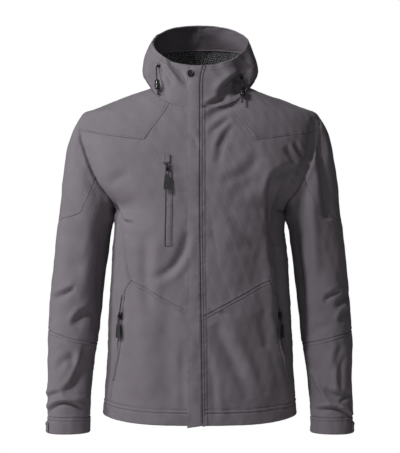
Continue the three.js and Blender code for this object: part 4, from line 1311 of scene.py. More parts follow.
class Stitching:
    """The rows of topstitching, all in one piece."""

    pitch = 3.3
    size = (2.3, 0.62, 0.4)

    def __init__(self) -> None:
        """Start with no stitches."""
        self.places: list[Matrix] = []

    def along(self, points: Array, normals: Array) -> None:
        """Sew a row of stitches along points on the cloth, with the outward directions there."""
        far = run_of(points)
        spots = np.arange(self.pitch / 2, far[-1], self.pitch)
        centre = read_at(spots, far, points)
        out = read_at(spots, far, normals)
        ahead = read_at(spots + 1, far, points) - centre
        for spot, normal, way in zip(centre, out, ahead):
            z = Vector(normal).normalized()
            if Vector(way).length < 1e-6:
                continue
            x = (Vector(way) - z * Vector(way).dot(z)).normalized()
            place = Matrix((x, z.cross(x), z)).transposed().to_4x4()
            place.translation = (Vector(spot) + z * (self.size[2] * 0.35)) * MM
            self.places.append(place)

    def beside(self, patch: Patch, edge: int, distance: float) -> None:
        """Sew a row of stitches along a panel's edge.

        Args:
            patch: The panel.
            edge: 0 is the bottom, 1 the right, 2 the top and 3 the left.
            distance: How far the row is from the edge.
        """
        points = patch.points()
        normals = patch.outward()
        normals /= np.maximum(np.linalg.norm(normals, axis=2, keepdims=True), 1e-9)
        depth = patch.along if edge in (0, 2) else patch.across.T
        if edge in (1, 3):
            points = points.transpose(1, 0, 2)
            normals = normals.transpose(1, 0, 2)
        if edge in (1, 2):
            depth = (depth[-1:] - depth)[::-1]
            points = points[::-1]
            normals = normals[::-1]
        columns = [j for j in range(depth.shape[1]) if depth[-1, j] > distance * 1.6]
        line = np.array([read_at(distance, depth[:, j], points[:, j]) for j in columns])
        out = np.array([read_at(distance, depth[:, j], normals[:, j]) for j in columns])
        if len(line) > 2:
            self.along(line, out)

    def build(self) -> None:
        """Make the piece."""
        mesh = repeated("topstitching", shape_mesh(block(self.size), "stitch"), self.places)
        mesh.uv_layers.new(name="cut")
        piece = new_object("topstitching", mesh)
        DRESS.put(piece, THREAD)
        log.info("topstitching: %d stitches", len(self.places))


STITCHING = Stitching()


@dataclass
class Body:
    """The body: yokes, chest panels, lower fronts, sides and back. Seams are seen from the front."""

    yoke_outer: Line = ((275, -83), (244, -88), (197, -98), (144, -106), (116, -110))
    yoke_inner: Line = ((116, -110), (96, -82), (74, -52), (66, -38), (48, -4))
    side_upper: Line = (
        (222, -222), (188, -240), (168, -268), (153, -312), (151, -350), (147, -386), (142, -402),
    )
    side_lower: Line = (
        (142, -402), (155, -428), (163, -468), (166.5, -505), (169.5, -541), (175.5, -573), (183, -610),
        (189, -655), (193, -700), (198, -760),
    )
    chest_seam: Line = ((-20, -490), (20, -468.5), (78, -437), (114, -417), (142, -402))
    back_yoke_seam: Line = ((300, -118), (150, -112), (0, -124), (-150, -112), (-300, -118))
    hem_side: float = -689.0
    hem_front: float = -701.0
    hem_back: float = -706.0
    hem_half: float = 208.0
    hem_reach: float = 207.8
    underarm: float = -254.0
    shoulder: float = -49.0
    spacing: float = 3.4
    back_spacing: float = 5.0
    form: Torso = field(default_factory=Torso)

    def hem(self, x: Array, middle: float) -> Array:
        """Find the hem's height."""
        return middle + (self.hem_side - middle) * np.minimum(np.abs(x) / self.hem_half, 1.2) ** 4

    def on_body(self, line: Array, front: bool = True) -> Array:
        """Turn a line that is seen from the front, or through it on the back, into places on the body."""
        return np.column_stack([self.form.turn_at(line[:, 0], line[:, 1], front), line[:, 1]])

    def neck(self, start: float, end: float) -> Array:
        """Draw the neck seam between two turns round the neck, as x and height."""
        return neck_seam(np.linspace(start, end, 60))[:, [0, 2]]

    def armhole(self, way: str) -> Array:
        """Draw the armhole's front or back from the shoulder down, as x and height."""
        z = np.linspace(self.shoulder, self.underarm, 90)
        return np.column_stack([ARMHOLE.at(way, z), z])

    def hem_end(self) -> float:
        """Find the hem's height at the side seam."""
        return float(self.hem(np.array([self.hem_reach]), self.hem_front)[0])

    def front_panels(self, side: Side) -> None:
        """Make one side's yoke, chest panel, lower front and side panel."""
        yoke_outer = rounded_path(self.yoke_outer)
        yoke_inner = rounded_path(self.yoke_inner)
        side_upper = rounded_path(self.side_upper)
        side_lower = rounded_path(self.side_lower)
        chest_seam = rounded_path(self.chest_seam)
        armhole = self.armhole("front")
        neck = self.neck(0, QUARTER)
        x = np.linspace(0, 240, 60)
        hem = np.column_stack([x, self.hem(x, self.hem_front)])
        z = np.linspace(-800, 40, 60)
        middle = np.column_stack([FRONT_EDGES[side] + side.value * LEAN.at("shift", z), z])
        on_yoke, on_arm = crossing(yoke_outer, armhole)
        on_inner, on_neck = crossing(yoke_inner, neck)
        on_side, low_arm = crossing(side_upper, armhole)
        on_lower, on_hem = crossing(side_lower, hem)
        on_chest, middle_seam = crossing(chest_seam, middle)
        neck_start, middle_top = crossing(neck, middle)
        hem_start, middle_hem = crossing(hem, middle)
        over = stretch(yoke_outer, len(yoke_outer) - 1, on_yoke)[1:]
        yoke_line = np.vstack([stretch(yoke_inner, on_inner, 0), over])
        chest_line = stretch(chest_seam, on_chest, len(chest_seam) - 1)
        lower_line = stretch(side_lower, on_lower, 0)
        upper_line = stretch(side_upper, len(side_upper) - 1, on_side)
        shoulder = np.column_stack([np.full(40, QUARTER), np.linspace(neck[-1, 1], self.shoulder, 40)])
        side_seam = np.array([[QUARTER, self.hem_end()], [QUARTER, self.underarm]])
        hem_side = self.on_body(stretch(hem, on_hem, len(hem) - 1))
        hem_side = np.vstack([hem_side[hem_side[:, 0] < QUARTER - 0.02], side_seam[:1]])
        arm_low = self.on_body(stretch(armhole, low_arm, len(armhole) - 1))
        stitched, flush, hemmed = Finish.TOPSTITCHED, Finish.FLUSH, Finish.HEMMED
        inner = Finish.FACED if side is Side.LEFT else Finish.HIDDEN

        def front(line: Array, finish: Finish = Finish.SEAM) -> Edge:
            """Make an edge of a line that is seen from the front."""
            return Edge(self.on_body(line), finish)

        panels = {
            "yoke": (
                front(yoke_line, stitched),
                front(stretch(armhole, on_arm, 0), flush),
                Edge(shoulder),
                front(stretch(neck, on_neck, len(neck) - 1), flush),
            ),
            "chest": (
                front(chest_line),
                front(np.vstack([upper_line, stretch(armhole, low_arm, on_arm)[1:]]), flush),
                front(np.vstack([stretch(neck, neck_start, on_neck), yoke_line[1:]]), Finish.HIDDEN),
                front(stretch(middle, middle_seam, middle_top), inner),
            ),
            "lower_front": (
                front(stretch(hem, hem_start, on_hem), hemmed),
                front(lower_line),
                front(chest_line, stitched),
                front(stretch(middle, middle_hem, middle_seam), inner),
            ),
            "side": (
                Edge(hem_side, hemmed),
                Edge(side_seam),
                Edge(np.vstack([arm_low[:-1], side_seam[1:]]), flush),
                front(np.vstack([lower_line, upper_line[1:]]), stitched),
            ),
        }
        made = {name: patch_between(self.form, edges, self.spacing, side) for name, edges in panels.items()}
        for name, panel in made.items():
            cloth_piece(panel, f"{name}_{side.word}")
        rows = [("chest", 3, FACED_STITCH), ("lower_front", 3, FACED_STITCH)] if side is Side.LEFT else []
        rows += [("yoke", 0, SEAM_STITCH), ("lower_front", 2, SEAM_STITCH), ("side", 3, SEAM_STITCH)]
        rows += [(name, 0, distance) for name in ("lower_front", "side") for distance in HEM_STITCHES]
        for name, edge, distance in rows:
            STITCHING.beside(made[name], edge, distance)

    def back_panels(self) -> None:
        """Make the back yoke and the back body."""
        armhole = self.armhole("back")
        seam = rounded_path(self.back_yoke_seam)
        on_seam, on_arm = crossing(seam, armhole)
        x = np.linspace(self.hem_reach, -self.hem_reach, 90)
        hem_end = self.hem_end()
        hem = self.on_body(np.column_stack([x, self.hem(x, self.hem_back)]), False)
        hem[0] = (QUARTER, hem_end)
        hem[-1] = (3 * QUARTER, hem_end)
        seam_line = self.on_body(stretch(seam, on_seam, len(seam) - 1 - on_seam), False)
        up = self.on_body(stretch(armhole, len(armhole) - 1, on_arm), False)
        up[0] = (QUARTER, self.underarm)
        left = np.vstack([[[QUARTER, hem_end]], up])
        over = self.on_body(stretch(armhole, on_arm, 0), False)
        neck = self.on_body(self.neck(QUARTER, 3 * QUARTER), False)
        over[-1] = (QUARTER, self.shoulder)
        neck[0] = (QUARTER, neck[0, 1])
        neck[-1] = (3 * QUARTER, neck[0, 1])
        yoke_left = np.vstack([over, [[QUARTER, neck[0, 1]]]])

        def flip(line: Array) -> Array:
            """Mirror a line of places to the wearer's right."""
            return np.column_stack([4 * QUARTER - line[:, 0], line[:, 1]])

        body_edges = (Edge(hem, Finish.HEMMED), Edge(flip(left)), Edge(seam_line), Edge(left))
        yoke_edges = (Edge(seam_line, Finish.TOPSTITCHED), Edge(flip(yoke_left)), Edge(neck), Edge(yoke_left))
        body = patch_between(self.form, body_edges, self.back_spacing)
        yoke = patch_between(self.form, yoke_edges, self.back_spacing)
        cloth_piece(body, "back_body")
        cloth_piece(yoke, "back_yoke")
        STITCHING.beside(yoke, 0, SEAM_STITCH)
        for distance in HEM_STITCHES:
            STITCHING.beside(body, 0, distance)

    def build(self) -> None:
        """Make every panel of the body."""
        for side in Side:
            self.front_panels(side)
        self.back_panels()


@dataclass
class Sleeve:
    """A sleeve: its cap, its upper and lower pieces, its cuff and the cuff's tab."""

    side: Side
    cap_seam: Line = (
        (205, -150), (222, -196), (244, -244), (254, -262), (290, -272), (303, -278), (345, -288),
    )
    elbow_seam: Line = (
        (180, -548), (230, -535), (255, -529.5), (281, -523), (313, -513.5), (360, -500),
    )
    cuff_seam: Line = ((180, -692), (370, -691))
    tab_turns: tuple[float, float] = (-1.75, 0.55)
    tab_steps: tuple[float, float] = (15.3, 15.97)
    tab_lift: float = 2.8
    spacing: float = 3.8
    form: SleeveForm = field(default_factory=SleeveForm)

    def steps_at(self, seam: Line, angles: Array) -> Array:
        """Find the step that a seam, seen from the front, has at each angle round the sleeve."""
        line = rounded_path(seam)
        low = np.zeros_like(angles)
        high = np.full_like(angles, 16.0)
        for _ in range(30):
            step = (low + high) / 2
            points = self.form.base(angles, step)
            above = points[:, 2] > np.interp(points[:, 0], line[:, 0], line[:, 1])
            low = np.where(above, step, low)
            high = np.where(above, high, step)
        return low

    def cap_ends(self) -> tuple[float, float]:
        """Find the angles at which the cap's seam meets the armhole, on the back and on the front."""
        line = rounded_path(self.cap_seam)
        ends = []
        for sign in (-1, 1):
            angles = sign * np.linspace(1.0, 2.6, 800)
            points = armhole_loop(angles)
            below = points[:, 2] < np.interp(points[:, 0], line[:, 0], line[:, 1])
            ends.append(float(angles[int(np.argmax(below))]))
        return ends[0], ends[1]

    def tube(self, angles: Array, top: Array, bottom: Array, top_finish: Finish, low_finish: Finish) -> Patch:
        """Make a piece of sleeve, whose rows run down it.

        Args:
            angles: The angles round the sleeve.
            top: The step of its upper edge at each.
            bottom: The step of its lower edge at each.
            top_finish: How the upper edge is made.
            low_finish: How the lower edge is made.

        Returns:
            The panel.
        """
        middle = len(angles) // 2
        length = size_on(self.form, np.full(60, angles[middle]), np.linspace(top[middle], bottom[middle], 60))
        rows = rows_between(length, self.spacing, top_finish, low_finish)
        steps = top[None] * (1 - rows[:, None]) + bottom[None] * rows[:, None]
        places = np.stack([np.broadcast_to(angles, steps.shape), steps], axis=2)
        edges = (top_finish, Finish.HIDDEN, low_finish, Finish.HIDDEN)
        return Patch(self.form, places, self.side, edges)

    def build(self) -> None:
        """Make the sleeve's pieces."""
        word = self.side.word
        start, end = self.cap_ends()
        around = np.unique(np.concatenate([np.linspace(-math.pi, math.pi, 151), [start, end]]))
        cap_all = self.steps_at(self.cap_seam, around)
        capped = (around > start + 1e-6) & (around < end - 1e-6)
        elbow = self.steps_at(self.elbow_seam, around)
        cuff = self.steps_at(self.cuff_seam, around)
        cap_angles = np.linspace(start, end, 110)
        cap_steps = np.where(np.arange(110) % 109 == 0, 0, self.steps_at(self.cap_seam, cap_angles))
        cap = self.tube(cap_angles, np.zeros(110), cap_steps, Finish.FLUSH, Finish.SEAM)
        upper = self.tube(around, np.where(capped, cap_all, 0), elbow, Finish.FLUSH, Finish.SEAM)
        lower = self.tube(around, elbow, cuff, Finish.TOPSTITCHED, Finish.SEAM)
        end = self.tube(around, cuff, np.full_like(around, 16.0), Finish.TOPSTITCHED, Finish.ROLLED)
        panels = {"sleeve_cap": cap, "sleeve_upper": upper, "sleeve_lower": lower, "cuff": end}
        for name, panel in panels.items():
            cloth_piece(panel, f"{name}_{word}")
        STITCHING.beside(lower, 0, SEAM_STITCH)
        STITCHING.beside(end, 0, SEAM_STITCH)
        tab_angles = np.linspace(*self.tab_turns, 60)
        tab = self.tube(
            tab_angles,
            np.full(60, self.tab_steps[0]),
            np.full(60, self.tab_steps[1]),
            Finish.ROLLED,
            Finish.ROLLED,
        )
        tab.edges = (Finish.ROLLED,) * 4
        tab.lift = self.tab_lift
        cloth_piece(tab, f"cuff_tab_{word}")
        for edge in range(4):
            STITCHING.beside(tab, edge, 4.0)


@dataclass
class Hood:
    """The collar's fronts, the hood's sides and middle, its facing and its mesh lining."""

    collar_edge: float = 80.0
    middle_half: float = 46.0
    faced_from: float = -40.0
    facing_step: float = 5.5
    inside: float = -2.6
    spacing: float = 3.4
    form: HoodForm = field(default_factory=HoodForm)

    def panel(
        self,
        left: Array,
        right: Array,
        steps: Array,
        finishes: tuple[Finish, ...],
        side: Side = Side.LEFT,
        lift: float = 0.0,
    ) -> Patch:
        """Make a panel between two turns at each step.

        Args:
            left: The turn of its first edge at each.
            right: The turn of its last edge at each.
            steps: The steps up from the neck seam.
            finishes: Its bottom, right, top and left edges.
            side: The wearer's side.
            lift: How far it stands off the form.

        Returns:
            The panel.
        """
        half = len(steps) // 2
        middle = np.full(60, (left[half] + right[half]) / 2)
        height = size_on(self.form, middle, np.linspace(steps[0], steps[-1], 60))
        width = size_on(self.form, np.linspace(left[half], right[half], 80), np.full(80, steps[half]))
        u = rows_between(width, self.spacing, finishes[3], finishes[1])
        v = rows_between(height, self.spacing, finishes[0], finishes[2])
        step = steps[0] + (steps[-1] - steps[0]) * v
        start = np.interp(step, steps, left)[:, None]
        end = np.interp(step, steps, right)[:, None]
        turn = start + (end - start) * u[None]
        places = np.stack([turn, np.broadcast_to(step[:, None], turn.shape)], axis=2)
        return Patch(self.form, places, side, finishes, lift)

    def build(self) -> None:
        """Make every panel of the collar and hood."""
        seam, flush, rolled, hidden = Finish.SEAM, Finish.FLUSH, Finish.ROLLED, Finish.HIDDEN
        steps = np.linspace(0, HOOD_STEPS, 57)
        collar = self.form.turn_of(self.collar_edge, steps)
        middle = self.form.turn_of(self.middle_half, steps, back=True)
        shift = LEAN.at("shift", ClosureForm.seam + ClosureForm.rise * steps)
        for side in Side:
            start = self.form.turn_of(FRONT_EDGES[side] + side.value * shift, steps)
            front = self.panel(start, collar, steps, (hidden, hidden, rolled, hidden), side)
            wing = self.panel(collar, middle, steps, (flush, seam, rolled, hidden), side)
            cloth_piece(front, f"collar_{side.word}")
            cloth_piece(wing, f"hood_side_{side.word}")
            STITCHING.beside(front, 2, HOOD_STITCH)
            STITCHING.beside(wing, 2, HOOD_STITCH)
            high = np.linspace(self.facing_step, HOOD_STEPS, 13)
            edges = (seam, flush, rolled, rolled)
            back = np.full(len(high), math.pi)
            facing = self.panel(self.faced_turn(high), back, high, edges, side, self.inside)
            cloth_piece(facing, f"hood_facing_{side.word}", FACING, THIN_CLOTH)
        back = self.panel(middle, 2 * math.pi - middle, steps, (seam, seam, rolled, seam))
        cloth_piece(back, "hood_middle")
        STITCHING.beside(back, 2, HOOD_STITCH)
        low = np.linspace(0.5, self.facing_step, 41)
        start = self.faced_turn(low)
        lining = self.panel(start, 2 * math.pi - start, low, (hidden,) * 4, Side.LEFT, self.inside)
        cloth_piece(lining, "hood_mesh", MESH, THIN_CLOTH)

    def faced_turn(self, steps: Array) -> Array:
        """Find the turn where the facing and mesh end at the front, at each step."""
        turns = np.linspace(0.3, 1.7, 200)
        found = []
        for step in steps:
            y = self.form.base(turns, np.full(200, step))[:, 1]
            found.append(turns[int(np.argmax(y > self.faced_from))])
        return np.array(found)


@dataclass
class Closure:
    """The front closure: the zip, the piped edge, the storm flap and its snap."""

    zip_span: tuple[float, float, float] = (-8.7, 4.2, -698.0)
    piping_span: tuple[float, float, float] = (2.5, 9.0, -703.0)
    flap_span: tuple[float, float, float] = (-29.0, 2.4, -706.0)
    top: float = 48.0
    slant: float = 0.16
    bar_tack: tuple[float, ...] = (-38.0, -36.6, -35.2, -33.8)
    bar_span: tuple[float, float] = (-1.0, 11.0)
    flap_lift: float = 2.7
    flap_thick: float = 2.2
    piping_lift: float = 1.1
    piping_thick: float = 3.1
    form: ClosureForm = field(default_factory=ClosureForm)

    def strip(
        self, span: tuple[float, float, float], finishes: tuple[Finish, ...], spacing: float, lift: float
    ) -> Patch:
        """Make a strip up the front.

        Args:
            span: Where it starts and ends across, and its bottom.
            finishes: Its bottom, right, top and left edges.
            spacing: The distance between rows.
            lift: How far it stands off the body.

        Returns:
            The strip.
        """
        start, end, bottom = span
        u = rows_between(end - start, spacing, finishes[3], finishes[1])
        v = rows_between(self.top - bottom, spacing, finishes[0], finishes[2])
        x, z = np.meshgrid(start + (end - start) * u, bottom + (self.top - bottom) * v)
        x = x + LEAN.at("shift", z)
        z = z + self.slant * (x - start) * smooth_step(-z, 560, 700)
        return Patch(self.form, np.stack([x, z], axis=2), Side.LEFT, finishes, lift)

    def build(self) -> None:
        """Make the closure's pieces."""
        rolled, hidden = Finish.ROLLED, Finish.HIDDEN
        tape = self.strip(self.zip_span, (hidden,) * 4, 4.0, 0.0)
        cloth_piece(tape, "front_zip", TAPE, 1.8)
        piping = self.strip(self.piping_span, (hidden,) * 4, 1.0, self.piping_lift)
        piping.edges = (rolled, rolled, rolled, rolled)
        cloth_piece(piping, "zip_piping", PRESSED, self.piping_thick)
        flap = self.strip(self.flap_span, (rolled, rolled, rolled, Finish.SEWN_DOWN), 3.0, self.flap_lift)
        cloth_piece(flap, "storm_flap", SOFTSHELL, self.flap_thick)
        STITCHING.beside(flap, 3, 5.0)
        STITCHING.beside(flap, 1, 4.0)
        across = np.linspace(*self.bar_span, 8)
        for height in self.bar_tack:
            up = np.full(8, height)
            points = self.form.point(across, up, self.piping_lift + 0.3)
            STITCHING.along(points, self.form.normals(across, up))


ROUNDED_FROM = math.radians(28)


def softened_copy(node: str, name: str, round_by: float, segments: int) -> Piece:
    """Copy a CAD node and round its edges, in its own place.

    Args:
        node: The CAD node.
        name: The new piece's name.
        round_by: The edges' rounding.
        segments: How many faces a rounding has across it.

    Returns:
        The piece, not yet dressed.
    """
    shape = bmesh.new()
    shape.from_mesh(bpy.data.objects[node].data)
    bmesh.ops.remove_doubles(shape, verts=shape.verts[:], dist=0.01 * MM)
    bmesh.ops.dissolve_limit(shape, angle_limit=math.radians(1.5), verts=shape.verts[:], edges=shape.edges[:])
    sharp = [edge for edge in shape.edges if edge.is_manifold and edge.calc_face_angle(0) > ROUNDED_FROM]
    bevel(shape, sharp, round_by, segments)
    bmesh.ops.recalc_face_normals(shape, faces=shape.faces[:])
    return new_object(name, shape_mesh(shape, name, 38))


def frame_at(point: Array, out: Array, along: Array) -> Matrix:
    """Build a frame in metres at a point: X across, Y outwards and Z roughly along a direction."""
    y = Vector(out).normalized()
    z = (Vector(along) - y * Vector(along).dot(y)).normalized()
    matrix = Matrix((y.cross(z), y, z)).transposed().to_4x4()
    matrix.translation = Vector(point) * MM
    return matrix


@dataclass
class Pull:
    """A zip pull: its slider, its wire link and its moulded grip with finger ridges.

    Attributes:
        name: The CAD's name for it.
        x: Where the slider is, seen from the front.
        z: The slider's height.
    """

    name: str
    x: float
    z: float
    link_length: float = 16.0
    grip_length: float = 30.0
    grip_top: float = 11.5
    grip_bottom: float = 15.0
    grip_thick: float = 2.6
    hinge: float = 8.6
    gap: float = 0.3

    def place(self) -> Matrix:
        """Find the slider's frame on the smooth body."""
        form = ClosureForm()
        x, z = np.array([self.x]), np.array([self.z])
        return frame_at(form.base(x, z)[0], form.normals(x, z)[0], UP)

    def grip(self) -> Piece:
        """Make the grip: a tapered tab with rounded edges, a sunk panel and ridges across it."""
        top = -self.link_length - self.gap
        end = top - self.grip_length
        shape = bmesh.new()
        bmesh.ops.create_grid(shape, x_segments=6, y_segments=18, size=0.5)
        for vertex in shape.verts:
            down = 0.5 - vertex.co.y
            width = self.grip_top + (self.grip_bottom - self.grip_top) * down
            pinch = 1 - 0.24 * max(0.0, 1 - down / 0.1) ** 2 - 0.1 * max(0.0, (down - 0.95) / 0.05) ** 2
            waist = 1 - 0.06 * math.sin(math.pi * min(1.0, down / 0.45))
            vertex.co = Vector((vertex.co.x * width * pinch * waist, 0, top + (end - top) * down)) * MM
        front = bmesh.ops.extrude_face_region(shape, geom=shape.faces[:])
        raised = [item for item in front["geom"] if isinstance(item, bmesh.types.BMVert)]
        bmesh.ops.translate(shape, verts=raised, vec=(0, self.grip_thick * MM, 0))
        bmesh.ops.translate(shape, verts=shape.verts[:], vec=(0, (self.hinge - self.grip_thick / 2) * MM, 0))
        bmesh.ops.recalc_face_normals(shape, faces=shape.faces[:])
        rims = [edge for edge in shape.edges if edge.calc_face_angle(0) > math.radians(50)]
        bevel(shape, rims, 0.75, 3)
        self.sink_panel(shape, top, end)
        bmesh.ops.transform(shape, matrix=self.place(), verts=shape.verts[:])
        name = f"{self.name}_grip"
        return new_object(name, shape_mesh(shape, name, 40))

    def sink_panel(self, shape: Shape, top: float, end: float) -> None:
        """Sink a panel in each face of the grip, between its top and its end, and leave ridges across it."""
        high = (top - 5) * MM
        low = (end + 3) * MM
        for sign in (1, -1):
            spots = {face: face.calc_center_median() for face in shape.faces if face.normal.y * sign > 0.9}
            side = 0.33 * self.grip_bottom * MM
            faces = [face for face, spot in spots.items() if low < spot.z < high and abs(spot.x) < side]
            rows = sorted({round(spots[face].z / MM, 1) for face in faces})
            kept = [face for face in faces if rows.index(round(spots[face].z / MM, 1)) % 2 == 0]
            bmesh.ops.inset_region(
                shape, faces=kept, thickness=0.3 * MM, depth=-0.45 * MM, use_even_offset=True
            )

    def build(self) -> None:
        """Make the slider, link and grip."""
        name, body = self.name, f"{self.name}_pull"
        slider = softened_copy(f"{name}_slider", f"{name}_slider_cast", 0.45, 3)
        DRESS.put(slider, PAINTED_ZINC, node=f"{name}_slider")
        link = softened_copy(f"{body}_link", f"{name}_link_wire", 0.4, 3)
        DRESS.put(link, PAINTED_ZINC, body, f"{body}_link")
        DRESS.put(self.grip(), RUBBER, body, f"{body}_grip")
        log.info("%s: slider, link and grip", self.name)


@dataclass
class Pockets:
    """The chest pocket and the two hand pockets, with their zips and welts."""

    chest_x: float = -66.5
    chest_bottom: float = -329.0
    chest_slider: float = -167.0
    chest_tape_x: float = -70.2
    chest_tape: float = 2.4
    garage: tuple[float, float, float, float] = (-77.0, -60.5, -158.5, -140.5)
    garage_proud: float = 3.2
    chest_welt_x: float = -63.0
    chest_welt: float = 11.4
    hand_top: float = -433.0
    hand_bottom: float = -612.0
    hand_slider: float = -476.0
    hand_width: float = 9.0
    hand_tape: float = 3.0
    hand_tuck: float = 4.6
    hand_covered: tuple[float, float] = (-560.0, -530.0)
    welt_proud: float = 1.8
    tape_proud: float = 1.2
    tooth_pitch: float = 1.7
    tooth: tuple[float, float, float] = (1.7, 1.1, 0.95)
    body: Body = field(default_factory=Body)

    def strip(
        self, form: Form, line: Array, width: float, shift: Array, side: Side, finish: Finish, lift: float
    ) -> Patch:
        """Make a strip along a line.

        Args:
            form: Its form.
            line: The places of the line, upwards.
            width: Its width.
            shift: How far it is moved across at each place.
            side: The wearer's side.
            finish: How its edges are made.
            lift: How far its outside stands off the form.

        Returns:
            The strip.
        """
        v = rows_between(size_on(form, line[:, 0], line[:, 1]), 2.6, finish, finish)
        u = rows_between(width, 1.0, finish, finish)
        share = np.linspace(0, 1, len(line))
        p = np.interp(v, share, line[:, 0])[:, None]
        q = np.interp(v, share, line[:, 1])[:, None]
        nudge = form.near[0]
        ahead = form.base((p + nudge).ravel(), q.ravel())
        behind = form.base((p - nudge).ravel(), q.ravel())
        speed = (np.linalg.norm(ahead - behind, axis=1) / (2 * nudge))[:, None]
        across = p + ((u[None] - 0.5) * width + np.interp(v, share, shift)[:, None]) / speed
        places = np.stack([across, np.broadcast_to(q, across.shape)], axis=2)
        return Patch(form, places, side, (finish,) * 4, lift)

    def coil(self, name: str, patch: Patch, start: float = 1.0) -> None:
        """Lay a zip's named coil along the middle of its tape, from a height up the tape."""
        column = patch.places.shape[1] // 2
        middle = patch.points()[:, column]
        normals = patch.outward()[:, column]
        far = run_of(middle)
        places = []
        for count, spot in enumerate(np.arange(start, far[-1] - 1, self.tooth_pitch)):
            at = read_at(spot, far, middle)
            tilt = Matrix.Rotation(0.35 if count % 2 else -0.35, 4, "Y")
            out = read_at(spot, far, normals)
            places.append(frame_at(at, out, read_at(spot + 1, far, middle) - at) @ tilt)
        shape = block(self.tooth)
        ends = [edge for edge in shape.edges if abs(edge.verts[0].co.x - edge.verts[1].co.x) > MM]
        bevel(shape, ends, 0.3, 1)
        piece = new_object(name, repeated(name, shape_mesh(shape, "tooth"), places))
        DRESS.put(piece, COIL)

    def zip_garage(self, form: Form) -> None:
        """Make the small folded cover over the closed end of the chest zip."""
        left, right, low, high = self.garage
        v = rows_between(high - low, 2.6, Finish.ROLLED, Finish.ROLLED)
        u = rows_between(right - left, 2.6, Finish.ROLLED, Finish.ROLLED)
        x, z = np.meshgrid(left + (right - left) * u, low + (high - low) * v)
        cover = Patch(form, np.stack([x, z], axis=2), Side.LEFT, (Finish.ROLLED,) * 4, self.garage_proud)
        mesh = grid_mesh("chest_zip_garage", cover.points(), (cover.across, cover.along))
        piece = new_object("chest_zip_garage", mesh)
        wall = piece.modifiers.new("wall", "SOLIDIFY")
        wall.thickness = 2.6 * MM
        wall.offset = -1
        DRESS.put(piece, PRESSED)
        for edge in range(4):
            STITCHING.beside(cover, edge, 2.8)

    def build(self) -> None:
        """Make the pockets' zips and welts."""
        closure = ClosureForm()
        left, hidden = Side.LEFT, Finish.HIDDEN
        z = np.linspace(self.chest_bottom, self.garage[2] - 1, 60)
        line = np.column_stack([np.full(60, self.chest_tape_x), z])
        tape = self.strip(closure, line, self.chest_tape, 0 * z, left, hidden, self.tape_proud)
        cloth_piece(tape, "chest_zip_tape", TAPE, TAPE_THICK)
        self.coil("chest_coil", tape)
        line = np.column_stack([np.full(60, self.chest_welt_x), z])
        welt = self.strip(closure, line, self.chest_welt, 0 * z, left, Finish.FLUSH, self.welt_proud)
        cloth_piece(welt, "chest_welt", PRESSED, WELT_THICK)
        STITCHING.beside(welt, 1, 3.0)
        self.zip_garage(closure)
        Pull("chest", self.chest_x, self.chest_slider).build()
        torso = self.body.form
        seam = rounded_path(self.body.side_lower)[::-1]
        for side in Side:
            z = np.linspace(self.hand_bottom, self.hand_top, 60)
            x = np.interp(z, seam[:, 1], seam[:, 0])
            line = np.column_stack([torso.turn_at(x, z), z])
            shift = self.hand_width / 2 + 2.4 - self.hand_tuck * (1 - smooth_step(z, *self.hand_covered))
            tape = self.strip(torso, line, self.hand_tape, shift, side, hidden, self.tape_proud)
            cloth_piece(tape, f"hand_zip_tape_{side.word}", TAPE, TAPE_THICK)
            self.coil(f"hand_coil_{side.word}", tape, self.hand_covered[1] - self.hand_bottom)
            welt = self.strip(torso, line, self.hand_width, 0 * z, side, Finish.ROLLED, self.welt_proud + 0.1)
            cloth_piece(welt, f"hand_welt_{side.word}", PRESSED, WELT_THICK)
            STITCHING.beside(welt, 3, 3.0)
            at = float(np.interp(self.hand_slider, seam[:, 1], seam[:, 0]))
            Pull(f"hand_{side.word}", side.value * at, self.hand_slider).build()


@dataclass
class Turned:
    """A small turned piece that stands on the cloth, from its profile of radii and heights."""

    name: str
    node: str
    profile: Line
    steps: int = 40

    def build(self, place: Matrix, finish: Grained, slot: str) -> Piece:
        """Make the piece at a frame whose Y is outwards, with its finish. Its slot is not used."""
        shape = bmesh.new()
        corners = [shape.verts.new((radius * MM, height * MM, 0)) for radius, height in self.profile]
        outline = [shape.edges.new(pair) for pair in zip(corners[:-1], corners[1:])]
        bmesh.ops.spin(
            shape,
            geom=[*corners, *outline],
            cent=(0, 0, 0),
            axis=(0, 1, 0),
            angle=2 * math.pi,
            steps=self.steps,
            use_merge=True,
            use_normal_flip=False,
        )
        bmesh.ops.remove_doubles(shape, verts=shape.verts[:], dist=0.005 * MM)
        bmesh.ops.recalc_face_normals(shape, faces=shape.faces[:])
        bmesh.ops.transform(shape, matrix=place, verts=shape.verts[:])
        piece = new_object(self.name, shape_mesh(shape, self.name, 35))
        DRESS.put(piece, finish, node=self.node)
        return piece


@dataclass
class Snap:
    """The snap cap on the flap at the collar: a dished disc with a rolled rim."""

    x: float = -20.0
    step: float = 5.35
    proud: float = 3.0
    profile: Line = (
        (0, 0), (7.0, 0), (7.5, 0.3), (7.6, 0.9), (7.4, 1.8), (6.9, 2.6), (6.2, 3.1), (5.6, 3.15),
        (5.1, 2.8), (4.7, 2.2), (4.2, 1.95), (2.6, 2.1), (1.2, 2.2), (0, 2.22),
    )

    def build(self) -> None:
        """Make the cap."""
        form = HoodForm()
        step = np.array([self.step])
        turn = -form.turn_of(abs(self.x), step)
        place = form.base(turn, step)[0]
        out = form.normals(turn, step)[0]
        spot = frame_at(place + out * self.proud, out, UP)
        Turned("snap_cap_pressed", "snap_cap", self.profile, 48).build(spot, PAINTED_ZINC, "black_metal")
        log.info("snap cap")


